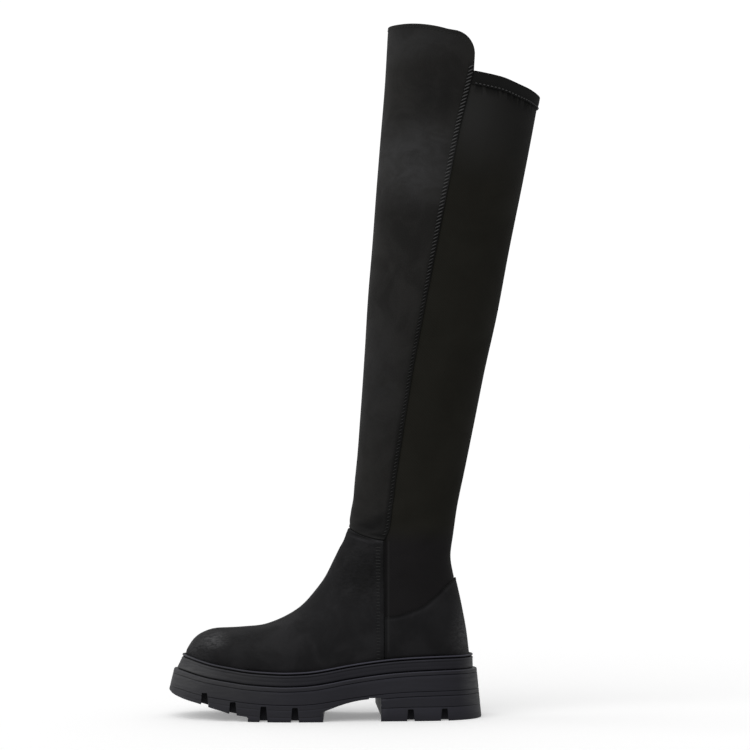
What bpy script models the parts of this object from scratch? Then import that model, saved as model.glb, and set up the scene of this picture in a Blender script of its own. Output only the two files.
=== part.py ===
"""A left thigh high boot with a thick lugged sole, standing empty on a floor.

Metres, +Z up. The toe points along -X, the outer side of the foot faces -Y,
and the origin is on the tread under the middle of the heel.
"""

import math

import bmesh
import bpy
import numpy as np

MM = 0.001

# Foot
UPPER_LENGTH = 246 * MM       # toe to heel of the upper at the welt
HEEL_REACH = 34.6 * MM        # from the origin back to the heel of the upper
BALL_WIDTH = 87 * MM          # across the upper at the ball
INSTEP_RISE = 105 * MM        # from the heel seat to the front of the ankle
WALL = 1.4 * MM               # the upper's lined wall
GAP = 0.3 * MM                # between pieces that meet
VAMP_THICKNESS = 1.5 * MM
COUNTER_THICKNESS = 1.3 * MM

# Shaft
SHAFT_HEIGHT = 550 * MM       # from the heel seat to the top of the collar
ANKLE_WIDTH = 69 * MM
COLLAR_WIDTH = 114 * MM
FRONT_LEAN = 34.6 * MM        # how far back the shin line leans, ankle to collar
BACK_LEAN = 87.7 * MM  # the same for the calf line
FRONT_THICKNESS = 1.1 * MM
HEM_THICKNESS = 0.8 * MM
HEM_WIDTH = 12 * MM
NOTCH_DROP = 42.5 * MM        # from the top of the collar down to the back panel
HEM_DROP = 23 * MM            # further fall of the hem, from the side seam to the back
FLAP_SLOPE = 7 * MM           # fall of the flap from the shin to its corner
FLAP_RADIUS = 21 * MM
FLAP_REACH = 0.8 * MM         # how far the flap's edge swells past the side seam

# Sole
HEEL_STACK = 55.8 * MM  # floor to the top of the welt at the heel
BALL_STACK = 42.4 * MM  # the same at the ball
TOE_SPRING = 12.9 * MM        # further rise of the welt from the ball to the toe
WELT_HEIGHT = 2.6 * MM
WELT_REACH = 3 * MM           # how far the welt stands out from the vamp
BAND_HEIGHT = 10 * MM         # of the midsole
BAND_FLARE = 0.04             # outward run per unit of depth, along the sides
TOE_BAND_FLARE = 0.5          # the same round the toe, where the sole turns up
LEDGE = 3 * MM                # how far the outsole stands out from the midsole
TOE_LEDGE = 2.2 * MM
OUTSOLE_FLARE = 0.1
TOE_OUTSOLE_FLARE = 0.24
GROOVE_DEPTH = 0.7 * MM
GROOVE_WIDTH = 1 * MM
INSOLE_THICKNESS = 3.5 * MM
INSOLE_CLEARANCE = 0.6 * MM

# Tread
TOE_STEP = 4.3 * MM           # the toe's tread starts this far off the floor
TOE_RISE = 24.5 * MM          # floor to the tread under the tip of the toe
ARCH_START = 8.3 * MM         # floor to the arch at the back of the forefoot
ARCH_HEIGHT = 19.8 * MM       # floor to the arch at the heel's front face
ARCH_STEP = 0.5 * MM          # the arch steps up here, against the heel
FOREFOOT_START = -156.6 * MM
FOREFOOT_END = -91.4 * MM
HEEL_START = -41.4 * MM
BREAST_SLANT = 5.2 * MM       # the heel's front face runs forward to the inner side
BREAST_CORNER = 8.8 * MM      # height where the heel's front face turns under
NOTCH_WIDTH = 4.8 * MM        # at its top
NOTCH_TAPER = 0.09            # extra half width per unit of depth
NOTCH_RUN = 21 * MM           # in from the side, at the forefoot
HEEL_NOTCH_RUN = 17 * MM

# Mesh steps
HALF_STEPS = 12               # round half a section
STATIONS = np.array([         # shares of the foot with a section and a point of each sole loop
    0, 0.007, 0.025, 0.055, 0.095, 0.14, 0.19, 0.245, 0.305, 0.37, 0.44, 0.515,
    0.59, 0.665, 0.74, 0.81, 0.87, 0.92, 0.96, 0.987, 1,
])

TOE_X = HEEL_REACH - UPPER_LENGTH
OVERLAY = GAP + VAMP_THICKNESS
TOP_TO_LEDGE = WELT_HEIGHT + BAND_HEIGHT

# Plan outline of the upper at the welt. share: of the length from the toe.
# outer, inner: half widths as shares of the ball width.
OUTLINE = np.array([
    # share, outer, inner
    (0.00, -0.045, 0.045),
    (0.01, 0.085, 0.165),
    (0.05, 0.225, 0.310),
    (0.10, 0.325, 0.400),
    (0.20, 0.440, 0.478),
    (0.30, 0.497, 0.500),
    (0.36, 0.511, 0.483),
    (0.45, 0.500, 0.427),
    (0.55, 0.460, 0.362),
    (0.65, 0.415, 0.328),
    (0.75, 0.380, 0.326),
    (0.85, 0.355, 0.333),
    (0.92, 0.305, 0.300),
    (0.97, 0.210, 0.210),
    (1.00, 0.000, 0.000),
])

# Height of the welt's top along the foot. rise: 0 at the ball's level, 1 at the
# heel's behind the ball, or at the toe's ahead of it.
WELT_LINE = np.array([
    # share, rise
    (0.000, 1.00),
    (0.022, 0.91),
    (0.050, 0.75),
    (0.100, 0.50),
    (0.160, 0.31),
    (0.220, 0.14),
    (0.290, 0.04),
    (0.350, 0.00),
    (0.410, 0.03),
    (0.450, 0.09),
    (0.500, 0.23),
    (0.560, 0.43),
    (0.620, 0.60),
    (0.680, 0.74),
    (0.740, 0.85),
    (0.840, 0.96),
    (0.920, 1.00),
    (1.000, 1.00),
])
BALL_SHARE = 0.35

# Sections of the foot, each in a plane from a point on the welt line up to a
# point on the front line. foot, front: shares of the upper's length. rise:
# share of the instep's rise above the foot point. outer, inner: greatest half
# widths, and ridge: the front line's offset, as shares of the ball width.
# belly: share of the section's height where it is widest. top, low: how square
# the curve is above and below it.
FOOT_SECTIONS = np.array([
    # foot, front, rise, outer, inner, ridge, belly, top, low
    (0.000, 0.000, 0.000, -0.045, 0.045, 0.045, 0.50, 2.20, 2.0),
    (0.006, 0.003, 0.029, 0.062, 0.150, 0.045, 0.45, 2.20, 2.0),
    (0.022, 0.012, 0.075, 0.165, 0.250, 0.045, 0.42, 2.20, 2.0),
    (0.050, 0.029, 0.148, 0.255, 0.340, 0.045, 0.38, 2.20, 2.0),
    (0.090, 0.056, 0.217, 0.335, 0.410, 0.045, 0.34, 2.25, 2.0),
    (0.130, 0.093, 0.264, 0.395, 0.455, 0.045, 0.32, 2.30, 2.0),
    (0.180, 0.142, 0.290, 0.450, 0.490, 0.045, 0.30, 2.30, 2.0),
    (0.235, 0.203, 0.315, 0.490, 0.512, 0.045, 0.30, 2.30, 2.0),
    (0.295, 0.262, 0.338, 0.515, 0.520, 0.045, 0.30, 2.25, 2.0),
    (0.360, 0.315, 0.380, 0.527, 0.500, 0.045, 0.28, 2.20, 2.0),
    (0.430, 0.367, 0.432, 0.520, 0.468, 0.045, 0.27, 2.10, 2.0),
    (0.510, 0.418, 0.492, 0.495, 0.425, 0.040, 0.27, 2.00, 2.0),
    (0.590, 0.460, 0.570, 0.465, 0.395, 0.035, 0.29, 1.95, 2.0),
    (0.680, 0.499, 0.668, 0.440, 0.382, 0.030, 0.33, 1.95, 2.0),
    (0.785, 0.529, 0.785, 0.420, 0.382, 0.020, 0.38, 1.95, 2.0),
    (0.895, 0.550, 0.879, 0.408, 0.388, 0.010, 0.43, 2.00, 2.1),
    (0.965, 0.565, 0.950, 0.402, 0.390, 0.005, 0.47, 2.00, 2.2),
    (1.000, 0.574, 1.000, 0.398, 0.392, 0.000, 0.50, 2.00, 2.3),
])

# Sections of the shaft, each in a plane from the back line up to the front
# line. up: shares of the shaft's height. lean: shares of the front and back
# leans. back: share of the upper's length below the narrow of the ankle, where
# the back lean has not begun. swell: 0 at the ankle's width, 1 at the collar's.
SHAFT_SECTIONS = np.array([
    # back_up, back, back_lean, front_up, front_lean, swell, low
    (0.0335, 0.991, 0.000, 0.1985, 0.000, 0.01, 2.30),
    (0.0800, 0.972, 0.000, 0.2125, 0.036, 0.00, 2.20),
    (0.1215, 0.952, 0.000, 0.2285, 0.064, 0.00, 2.10),
    (0.1550, 0.940, 0.000, 0.2495, 0.115, 0.00, 2.05),
    (0.1885, 0.940, 0.025, 0.2765, 0.153, 0.02, 2.05),
    (0.2335, 0.940, 0.066, 0.3085, 0.204, 0.07, 2.05),
    (0.2925, 0.940, 0.142, 0.3565, 0.267, 0.18, 2.05),
    (0.3645, 0.940, 0.234, 0.4125, 0.331, 0.33, 2.05),
    (0.4495, 0.940, 0.340, 0.4845, 0.407, 0.49, 2.05),
    (0.5405, 0.940, 0.467, 0.5645, 0.483, 0.62, 2.05),
    (0.6445, 0.940, 0.589, 0.6525, 0.598, 0.73, 2.05),
    (0.7485, 0.940, 0.721, 0.7485, 0.713, 0.845, 2.05),
    (0.8320, 0.940, 0.822, 0.8285, 0.814, 0.91, 2.05),
    (0.9135, 0.940, 0.914, 0.9085, 0.916, 0.96, 2.05),
    (1.0000, 0.940, 1.000, 1.0000, 1.000, 1.00, 2.05),
    (1.0400, 0.940, 1.040, 1.0400, 1.040, 1.01, 2.05),
])
INSTEP_UP = 105 / 550         # share of the shaft at the instep's rise
ANKLE_TOP = 0.3               # share below which heights follow the instep
ANKLE_FRONT = 0.5817  # share of the upper's length

# Side seam of the shaft. up: share of the shaft's height. depth: share of the
# way from the front line to the back line.
SIDE_SEAM = np.array([
    # up, depth
    (0.150, 0.40),
    (0.185, 0.39),
    (0.275, 0.37),
    (0.415, 0.39),
    (0.650, 0.46),
    (0.824, 0.505),
    (0.923, 0.548),
    (1.040, 0.585),
])
FOOT_SEAM = 0.702             # share of the upper's length

# Top edge of the vamp. along: share of the way from the ankle's front to the
# foot's side seam. up: share of the shaft's height.
ANKLE_SEAM = np.array([
    # along, up
    (-0.30, 0.212),
    (0.00, 0.200),
    (0.25, 0.192),
    (0.60, 0.186),
    (1.00, 0.182),
])

# Top edge of the counter. share: of the upper's length. rise: share of the
# instep's rise above the heel seat.
COUNTER_EDGE = np.array([
    # share, rise
    (0.702, 0.325),
    (0.740, 0.335),
    (0.790, 0.368),
    (0.832, 0.406),
    (0.868, 0.468),
    (0.897, 0.527),
    (0.919, 0.578),
    (0.961, 0.634),
    (1.060, 0.680),
])

# Fall of the hem behind the side seam. depth: share of the way from the seam
# to the back line. drop: share of the hem's drop.
HEM_EDGE = np.array([
    # depth, drop
    (0.00, 0.00),
    (0.16, 0.08),
    (0.40, 0.22),
    (0.64, 0.46),
    (0.78, 0.60),
    (0.90, 0.76),
    (1.00, 0.92),
    (1.15, 1.10),
])

# Tread line under the toe. forward: share of the way from the forefoot's first
# lug to the tip of the sole. rise: share of the way from the step to the tip.
TOE_TREAD = np.array([
    # forward, rise
    (0.00, 0.00),
    (0.21, 0.11),
    (0.32, 0.23),
    (0.42, 0.32),
    (0.52, 0.43),
    (0.62, 0.53),
    (0.72, 0.61),
    (0.83, 0.72),
    (0.94, 0.86),
    (1.00, 1.00),
    (1.20, 1.50),
])

# Line under the arch. back: share of the way from the forefoot to the heel.
# rise: share of the arch's height above the lugs' web.
ARCH_LINE = np.array([
    # back, rise
    (0.00, 0.06),
    (0.15, 0.27),
    (0.30, 0.48),
    (0.45, 0.66),
    (0.60, 0.80),
    (0.75, 0.90),
    (1.00, 1.00),
])

# Notches in both sides of the tread. side: half width of the tread there.
NOTCHES = np.array([
    # middle, depth, side, run
    (-194.7 * MM, 10.8 * MM, 46 * MM, NOTCH_RUN),
    (-169.8 * MM, 10.8 * MM, 54 * MM, NOTCH_RUN),
    (-143.1 * MM, 13.5 * MM, 58 * MM, NOTCH_RUN),
    (-115.8 * MM, 12.6 * MM, 58 * MM, NOTCH_RUN),
    (-15.5 * MM, 10.3 * MM, 46 * MM, HEEL_NOTCH_RUN),
    (14.0 * MM, 10.5 * MM, 43 * MM, HEEL_NOTCH_RUN),
])

# Grooves round the side of the outsole. depth and heel_depth: below the ledge,
# at the ball and the heel. start: share of the foot where the groove begins.
GROOVES = np.array([
    # depth, heel_depth, start
    (3.4 * MM, 3.0 * MM, -1.0),
    (15.2 * MM, 17.6 * MM, -1.0),
    (19.5 * MM, 21.6 * MM, 0.68),
    (25.5 * MM, 31.2 * MM, 0.68),
])
GROOVE_FADE = 0.03


def smooth(at, table, column):
    """The monotone cubic through a table's column, against its first, read at a value or an array."""
    xs, ys = table[:, 0], table[:, column]
    steps = np.diff(xs)
    slopes = np.diff(ys) / steps
    tangents = np.zeros(len(xs))
    tangents[0], tangents[-1] = slopes[0], slopes[-1]
    before, after = slopes[:-1], slopes[1:]
    same = before * after > 0
    weight_a = (2 * steps[1:] + steps[:-1])[same]
    weight_b = (steps[1:] + 2 * steps[:-1])[same]
    mean = (weight_a + weight_b) / (weight_a / before[same] + weight_b / after[same])
    tangents[1:-1][same] = mean
    at = np.clip(np.asarray(at, float), xs[0], xs[-1])
    k = np.clip(np.searchsorted(xs, at, side="right") - 1, 0, len(xs) - 2)
    h = steps[k]
    t = (at - xs[k]) / h
    return (
        (1 + 2 * t) * (1 - t) ** 2 * ys[k]
        + t * (1 - t) ** 2 * h * tangents[k]
        + t * t * (3 - 2 * t) * ys[k + 1]
        + t * t * (t - 1) * h * tangents[k + 1]
    )


def foot_x(share):
    """X of a share of the upper's length from the toe."""
    return TOE_X + share * UPPER_LENGTH


def foot_share(x):
    return (np.asarray(x) - TOE_X) / UPPER_LENGTH


def round_ended(share, table, column):
    """A column against the share of the foot, free to run square to the foot's ends."""
    angles = table.copy()
    angles[:, 0] = np.arccos(1 - 2 * table[:, 0])
    return smooth(np.arccos(1 - 2 * np.clip(share, 0, 1)), angles, column)


def half_width(share, column):
    """Half width of the upper's plan at the welt."""
    return BALL_WIDTH * round_ended(share, OUTLINE, column)


def welt_top(share):
    """Height of the top of the welt at a share of the foot's length."""
    rise = smooth(share, WELT_LINE, 1)
    span = np.where(np.asarray(share) < BALL_SHARE, TOE_SPRING, HEEL_STACK - BALL_STACK)
    return BALL_STACK + rise * span


def sole_top(share):
    return welt_top(share) - WELT_HEIGHT


def shaft_z(up):
    """Height of a share of the shaft. Round the ankle the shares follow the instep, and above it the shaft."""
    ankle = INSTEP_RISE / INSTEP_UP
    above = (SHAFT_HEIGHT - ANKLE_TOP * ankle) / (1 - ANKLE_TOP)
    up = np.asarray(up, float)
    return HEEL_STACK + np.minimum(up, ANKLE_TOP) * ankle + np.maximum(up - ANKLE_TOP, 0) * above


def shaft_up(z):
    """The share of the shaft at a height."""
    shares = np.linspace(0, 1.1, 23)
    return np.interp(z, shaft_z(shares), shares)


def section_rows():
    """One row for each section: foot x, z, front x, z, foot half widths, greatest half widths, ridge, belly, top, low."""
    rows = []
    columns = range(1, FOOT_SECTIONS.shape[1])
    for foot in STATIONS:
        front, rise, outer, inner, ridge, belly, top, low = (
            float(round_ended(foot, FOOT_SECTIONS, column)) for column in columns
        )
        foot_z = float(welt_top(foot))
        rows.append((
            foot_x(foot), foot_z, foot_x(front), foot_z + rise * INSTEP_RISE,
            float(half_width(foot, 1)), float(half_width(foot, 2)),
            outer * BALL_WIDTH, inner * BALL_WIDTH, ridge * BALL_WIDTH, belly, top, low,
        ))
    for back_up, back, back_lean, front_up, front_lean, swell, low in SHAFT_SECTIONS:
        half = (ANKLE_WIDTH + swell * (COLLAR_WIDTH - ANKLE_WIDTH)) / 2
        rows.append((
            foot_x(back) + back_lean * BACK_LEAN, shaft_z(back_up),
            foot_x(ANKLE_FRONT) + front_lean * FRONT_LEAN, shaft_z(front_up),
            0, 0, half, half, 0, 0.5, 2.05, low,
        ))
    return np.array(rows)


def half_section(row, side):
    """Dense points of one side of a section, from the ridge down to the foot. side is -1 outer, 1 inner."""
    foot_at, front_at = row[0:2], row[2:4]
    foot_half, widest = (row[4], row[6]) if side < 0 else (row[5], row[7])
    ridge, belly, top, low = row[8:12]
    angle = np.linspace(0, math.pi / 2, 60)
    sine, cosine = np.sin(angle), np.clip(np.cos(angle), 0, 1)
    high_h = belly + (1 - belly) * cosine ** (2 / top)
    high_q = sine ** (2 / top)
    low_h = belly * (1 - sine ** (2 / low))
    low_q = cosine ** (2 / low)
    h = np.concatenate([high_h, low_h[1:]])
    q_high = ridge * (1 - high_q) + side * widest * high_q
    q_low = side * (foot_half + (widest - foot_half) * low_q)
    y = np.concatenate([q_high, q_low[1:]])
    line = foot_at[None, :] + h[:, None] * (front_at - foot_at)[None, :]
    return np.column_stack([line[:, 0], y, line[:, 1]])


def even_points(points, count):
    """The polyline read at count equal steps along its length."""
    lengths = np.linalg.norm(np.diff(points, axis=0), axis=1)
    along = np.concatenate([[0], np.cumsum(lengths)])
    if along[-1] < 1e-9:
        return np.repeat(points[:1], count + 1, axis=0)
    at = np.linspace(0, along[-1], count + 1)
    return np.column_stack([np.interp(at, along, points[:, k]) for k in range(3)])


def section_points(row):
    """Points of a whole section, from the outer foot over the ridge to the inner foot."""
    outer = even_points(half_section(row, -1), HALF_STEPS)
    inner = even_points(half_section(row, 1), HALF_STEPS)
    return np.vstack([outer[::-1], inner[1:]])


def new_material(name, colour, roughness):
    material = bpy.data.materials.new(name)
    material.use_nodes = True
    shader = material.node_tree.nodes["Principled BSDF"]
    shader.inputs["Base Color"].default_value = (*colour, 1)
    shader.inputs["Roughness"].default_value = roughness
    shader.inputs["Metallic"].default_value = 0
    return material


def new_object(name, mesh, collection, material=None):
    made = bpy.data.objects.new(name, mesh)
    collection.objects.link(made)
    if material:
        mesh.materials.append(material)
    return made


def finish_mesh(bm, name):
    """Welds, turns the faces outwards and writes the mesh."""
    bmesh.ops.remove_doubles(bm, verts=bm.verts, dist=1e-6)
    bmesh.ops.recalc_face_normals(bm, faces=bm.faces)
    mesh = bpy.data.meshes.new(name)
    bm.to_mesh(mesh)
    bm.free()
    return mesh


def face(bm, corners):
    """A face through corners, without those that coincide."""
    kept = []
    for vertex in corners:
        if all((vertex.co - other.co).length > 1e-6 for other in kept):
            kept.append(vertex)
    if len(kept) > 2:
        bm.faces.new(kept)


def quad(bm, corners):
    """Two triangles through four corners, split along the shorter diagonal."""
    a, b, c, d = corners
    if (a.co - c.co).length <= (b.co - d.co).length:
        face(bm, (a, b, c))
        face(bm, (a, c, d))
    else:
        face(bm, (a, b, d))
        face(bm, (b, c, d))


def boot_skin(name, offset):
    """The boot's open surface, offset from the upper's outside, with a skirt below the welt line."""
    rows = section_rows()
    bm = bmesh.new()
    grid = []
    for row in rows:
        points = section_points(row)
        ring = [bm.verts.new(p) for p in points]
        grid.append(ring)
    for low, high in zip(grid[:-1], grid[1:]):
        for k in range(2 * HALF_STEPS):
            quad(bm, (low[k], high[k], high[k + 1], low[k + 1]))
    drop = (0, 0, -2 * WELT_HEIGHT)
    skirts = []
    for ring in grid[:len(STATIONS)]:
        ends = []
        for vertex in (ring[0], ring[-1]):
            ends.append(bm.verts.new([a + b for a, b in zip(vertex.co, drop)]))
        skirts.append((ring[0], ring[-1], *ends))
    for one, two in zip(skirts[:-1], skirts[1:]):
        quad(bm, (one[2], two[2], two[0], one[0]))
        quad(bm, (one[1], two[1], two[3], one[3]))
    bmesh.ops.remove_doubles(bm, verts=bm.verts, dist=1e-6)
    bmesh.ops.recalc_face_normals(bm, faces=bm.faces)
    bm.normal_update()
    lowest = min(bm.faces, key=lambda face: face.calc_center_median().x)
    if lowest.normal.x > 0:
        bmesh.ops.reverse_faces(bm, faces=bm.faces)
        bm.normal_update()
    moved = [(vertex, vertex.co + vertex.normal * offset) for vertex in bm.verts]
    for vertex, place in moved:
        vertex.co = place
    mesh = bpy.data.meshes.new(name)
    bm.to_mesh(mesh)
    bm.free()
    return mesh


def side_prism(name, outlines, collection, across=(-0.1, 0.1)):
    """A cutter with those outlines in the side view, running between two places across the boot."""
    curve = bpy.data.curves.new(name, "CURVE")
    curve.dimensions = "2D"
    curve.fill_mode = "BOTH"
    curve.extrude = (across[1] - across[0]) / 2
    for outline in outlines:
        spline = curve.splines.new("POLY")
        spline.points.add(len(outline) - 1)
        for point, (x, z) in zip(spline.points, outline):
            point.co = (x, z, 0, 1)
        spline.use_cyclic_u = True
    drawn = bpy.data.objects.new(name + "_outline", curve)
    drawn.rotation_euler = (math.pi / 2, 0, 0)
    drawn.location.y = sum(across) / 2
    collection.objects.link(drawn)
    bpy.context.view_layer.update()
    evaluated = drawn.evaluated_get(bpy.context.evaluated_depsgraph_get())
    mesh = bpy.data.meshes.new_from_object(evaluated)
    mesh.transform(drawn.matrix_world)
    bpy.data.objects.remove(drawn)
    bm = bmesh.new()
    bm.from_mesh(mesh)
    bpy.data.meshes.remove(mesh)
    return cutter(name, finish_mesh(bm, name), collection)


def cutter(name, mesh, collection):
    made = new_object(name, mesh, collection)
    made.hide_render = True
    made.display_type = "WIRE"
    return made


def add_boolean(target, other, operation):
    modifier = target.modifiers.new(other.name, "BOOLEAN")
    modifier.object = other
    modifier.operation = operation
    modifier.solver = "EXACT"


def boot_panel(name, offset, thickness, outline, parts, cutters, material, inward=False):
    """A wall of the boot between two offsets of its surface, cut to an outline in the side view."""
    panel = new_object(name, boot_skin(name, offset), parts, material)
    shell = panel.modifiers.new("wall", "SOLIDIFY")
    shell.thickness = thickness
    shell.offset = -1 if inward else 1
    add_boolean(panel, side_prism(name + "_cut", [outline], cutters), "INTERSECT")
    return panel


def front_line(z):
    """X of the shin line at a height, outside the upper."""
    rows = section_rows()
    return np.interp(z, rows[:, 3], rows[:, 2])


def back_line(z):
    """X of the calf line at a height, outside the upper."""
    rows = section_rows()[len(STATIONS) - 1:]
    return np.interp(z, rows[:, 1], rows[:, 0])


def side_seam(shift=0.0, lowest=None, highest=None, count=24):
    """Points of the shaft's side seam going up, moved back by shift."""
    low = shaft_z(SIDE_SEAM[0, 0]) if lowest is None else lowest
    high = shaft_z(SIDE_SEAM[-1, 0]) if highest is None else highest
    heights = np.linspace(low, high, count)
    depth = smooth(shaft_up(heights), SIDE_SEAM, 1)
    front, back = front_line(heights), back_line(heights)
    return [(x + shift, z) for x, z in zip(front + depth * (back - front), heights)]


def notch_point():
    """Where the hem meets the flap's edge on the side seam."""
    z = shaft_z(1) - NOTCH_DROP
    return side_seam(lowest=z, highest=z, count=1)[0]


def sole_edge(first, last, lift, count=30):
    """The sole's top line between two shares of the foot, raised by lift."""
    shares = np.linspace(first, last, count)
    return list(zip(foot_x(shares), sole_top(np.clip(shares, 0, 1)) + lift))


def ankle_edge(lift=0.0, last=1.0):
    """The vamp's top edge from ahead of the shin to the side seam."""
    start = foot_x(ANKLE_FRONT)
    span = foot_x(FOOT_SEAM) - start
    along = np.linspace(ANKLE_SEAM[0, 0], last, 10)
    return list(zip(start + along * span, shaft_z(smooth(along, ANKLE_SEAM, 1)) + lift))


def counter_edge(shift=0.0):
    shares = np.linspace(COUNTER_EDGE[0, 0], COUNTER_EDGE[-1, 0], 14)
    heights = HEEL_STACK + smooth(shares, COUNTER_EDGE, 1) * INSTEP_RISE
    points = list(zip(foot_x(shares), heights))
    points[0] = (points[0][0] + shift, points[0][1])
    return points


def hem_edge(lower=0.0, shift=0.0):
    """The back panel's top edge from the seam to behind the calf, lowered by lower."""
    x, z = notch_point()
    back = back_line(z)
    depths = np.linspace(HEM_EDGE[0, 0], HEM_EDGE[-1, 0], 12)
    drops = smooth(depths, HEM_EDGE, 1) * HEM_DROP
    points = [(x + d * (back - x), z - drop - lower) for d, drop in zip(depths, drops)]
    points[0] = (points[0][0] + shift, points[0][1])
    return points


def flap_edge(lower=0.0):
    """The flap's top edge, from ahead of the shin to its corner and down to the notch."""
    notch_x, notch_z = notch_point()
    top = shaft_z(1) - lower
    shin = float(front_line(shaft_z(1)))
    edge_x = notch_x + FLAP_REACH - lower
    centre_x, centre_z = edge_x - FLAP_RADIUS, top - FLAP_SLOPE - FLAP_RADIUS
    flat = shin + FLAP_RADIUS / 2
    points = [(shin - FLAP_RADIUS, top), (flat, top)]
    for share in (0.35, 0.7):
        x = flat + share * (centre_x - flat)
        points.append((x, top - FLAP_SLOPE * share ** 2))
    for step in range(9):
        angle = math.pi / 2 * (1 - step / 8)
        points.append((
            centre_x + FLAP_RADIUS * math.cos(angle),
            centre_z + FLAP_RADIUS * math.sin(angle),
        ))
    points.append((notch_x, notch_z))
    return points


def build_upper(parts, cutters):
    """The hollow wall of the whole boot and the panels laid over it."""
    far_front, far_back = foot_x(-0.1), foot_x(1.6)
    collar = flap_edge()
    stretch = new_material("stretch_fabric", (0.012, 0.011, 0.009), 0.85)
    suede = new_material("brushed_leather", (0.02, 0.0195, 0.0195), 0.75)
    outline = (
        sole_edge(-0.1, 1.6, GAP)
        + [(far_back, hem_edge()[-1][1])]
        + hem_edge()[::-1]
        + collar[::-1][1:]
        + [(far_front, shaft_z(1))]
    )
    boot_panel("upper", 0, WALL, outline, parts, cutters, stretch, inward=True)

    seam_x = foot_x(FOOT_SEAM)
    vamp_outline = (
        sole_edge(-0.1, FOOT_SEAM, GAP)
        + ankle_edge()[::-1]
        + [(far_front, shaft_z(ANKLE_SEAM[0, 1]))]
    )
    boot_panel("vamp", GAP, VAMP_THICKNESS, vamp_outline, parts, cutters, suede)

    counter_outline = (
        [(seam_x + GAP, z) for z in (float(sole_top(FOOT_SEAM)) + GAP,)]
        + sole_edge(FOOT_SEAM + 0.01, 1.1, GAP, 12)
        + counter_edge(GAP)[::-1]
    )
    boot_panel("counter", GAP, COUNTER_THICKNESS, counter_outline, parts, cutters, suede)

    ankle = ankle_edge(GAP)
    seam_low = ankle[-1][1]
    front_outline = (
        [(far_front, ankle[0][1])]
        + ankle
        + side_seam(0, seam_low + 2 * MM, notch_point()[1] - GAP)
        + flap_edge()[::-1]
        + [(far_front, shaft_z(1))]
    )
    boot_panel("shaft_front", GAP, FRONT_THICKNESS, front_outline, parts, cutters, suede)

    low = hem_edge(HEM_WIDTH)
    low[0] = side_seam(2 * GAP, low[0][1], low[0][1], 1)[0]
    hem_outline = hem_edge(shift=2 * GAP)[::-1] + low
    boot_panel("collar_hem", GAP, HEM_THICKNESS, hem_outline, parts, cutters, stretch)


def toe_share(share):
    """1 at the toe's tip, falling smoothly to 0 by the ball."""
    t = np.clip(1 - np.asarray(share) / 0.25, 0, 1)
    return t * t * (3 - 2 * t)


def sole_loop(offset):
    """Plan points round the foot, outer side then inner side, offset outwards. Returns x, y and each point's share of the foot."""
    outer = np.column_stack([foot_x(STATIONS), -half_width(STATIONS, 1)])
    inner = np.column_stack([foot_x(STATIONS), half_width(STATIONS, 2)])[1:-1][::-1]
    points = np.vstack([outer, inner])
    loop_shares = np.concatenate([STATIONS, STATIONS[1:-1][::-1]])
    along = np.roll(points, -1, axis=0) - np.roll(points, 1, axis=0)
    along /= np.linalg.norm(along, axis=1)[:, None]
    normals = np.column_stack([-along[:, 1], along[:, 0]])
    outwards = normals if (normals[0, 0] < 0) else -normals
    moved = points + outwards * np.broadcast_to(offset, loop_shares.shape)[:, None]
    return moved, loop_shares


def ring(offset, height):
    """Sole loop at an offset and a height, each a value or a function of the foot's share."""
    shares = sole_loop(0)[1]
    reach = offset(shares) if callable(offset) else offset
    plan, _ = sole_loop(reach)
    z = height(shares) if callable(height) else np.full(len(plan), height)
    return np.column_stack([plan, z])


def ladder_cap(bm, loop):
    """Closes a sole loop with strips from side to side, so that it keeps its curve."""
    count = len(loop)
    for k in range(len(STATIONS) - 1):
        left, right = loop[k], loop[k + 1]
        quad(bm, (left, right, loop[(count - k - 1) % count], loop[(count - k) % count]))


def ring_solid(name, rings, collection, material):
    """A closed solid through sole loops, from the top loop down."""
    bm = bmesh.new()
    loops = [[bm.verts.new(p) for p in points] for points in rings]
    for upper, lower in zip(loops[:-1], loops[1:]):
        for k in range(len(upper)):
            after = (k + 1) % len(upper)
            quad(bm, (upper[k], lower[k], lower[after], upper[after]))
    ladder_cap(bm, loops[0])
    ladder_cap(bm, loops[-1])
    return new_object(name, finish_mesh(bm, name), collection, material)


def band_reach(share, depth):
    """Offset of the midsole's side at a depth below its top."""
    toe = toe_share(share)
    flare = BAND_FLARE + toe * (TOE_BAND_FLARE - BAND_FLARE)
    return OVERLAY + WELT_REACH + flare * depth


def outsole_reach(share, depth):
    """Offset of the outsole's side at a depth below the ledge."""
    toe = toe_share(share)
    flare = OUTSOLE_FLARE + toe * (TOE_OUTSOLE_FLARE - OUTSOLE_FLARE)
    ledge = LEDGE + toe * (TOE_LEDGE - LEDGE)
    return band_reach(share, BAND_HEIGHT) + ledge + flare * depth


def build_welt(parts, material):
    """The bead round the foot of the upper, on the midsole's edge."""
    inner = OVERLAY + 2 * GAP
    outer = OVERLAY + WELT_REACH
    profile = (
        # offset, height above the midsole
        (inner, GAP),
        (inner, WELT_HEIGHT - 0.4 * MM),
        (inner + 0.5 * MM, WELT_HEIGHT),
        (outer - 0.6 * MM, WELT_HEIGHT),
        (outer, WELT_HEIGHT - 0.6 * MM),
        (outer, GAP + 0.5 * MM),
        (outer - 0.4 * MM, GAP),
    )
    bm = bmesh.new()
    loops = []
    for offset, height in profile:
        points = ring(offset, lambda share, up=height: sole_top(share) + up)
        loops.append([bm.verts.new(p) for p in points])
    for one, two in zip(loops, loops[1:] + loops[:1]):
        for k in range(len(one)):
            after = (k + 1) % len(one)
            quad(bm, (one[k], two[k], two[after], one[after]))
    new_object("welt", finish_mesh(bm, "welt"), parts, material)


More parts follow.
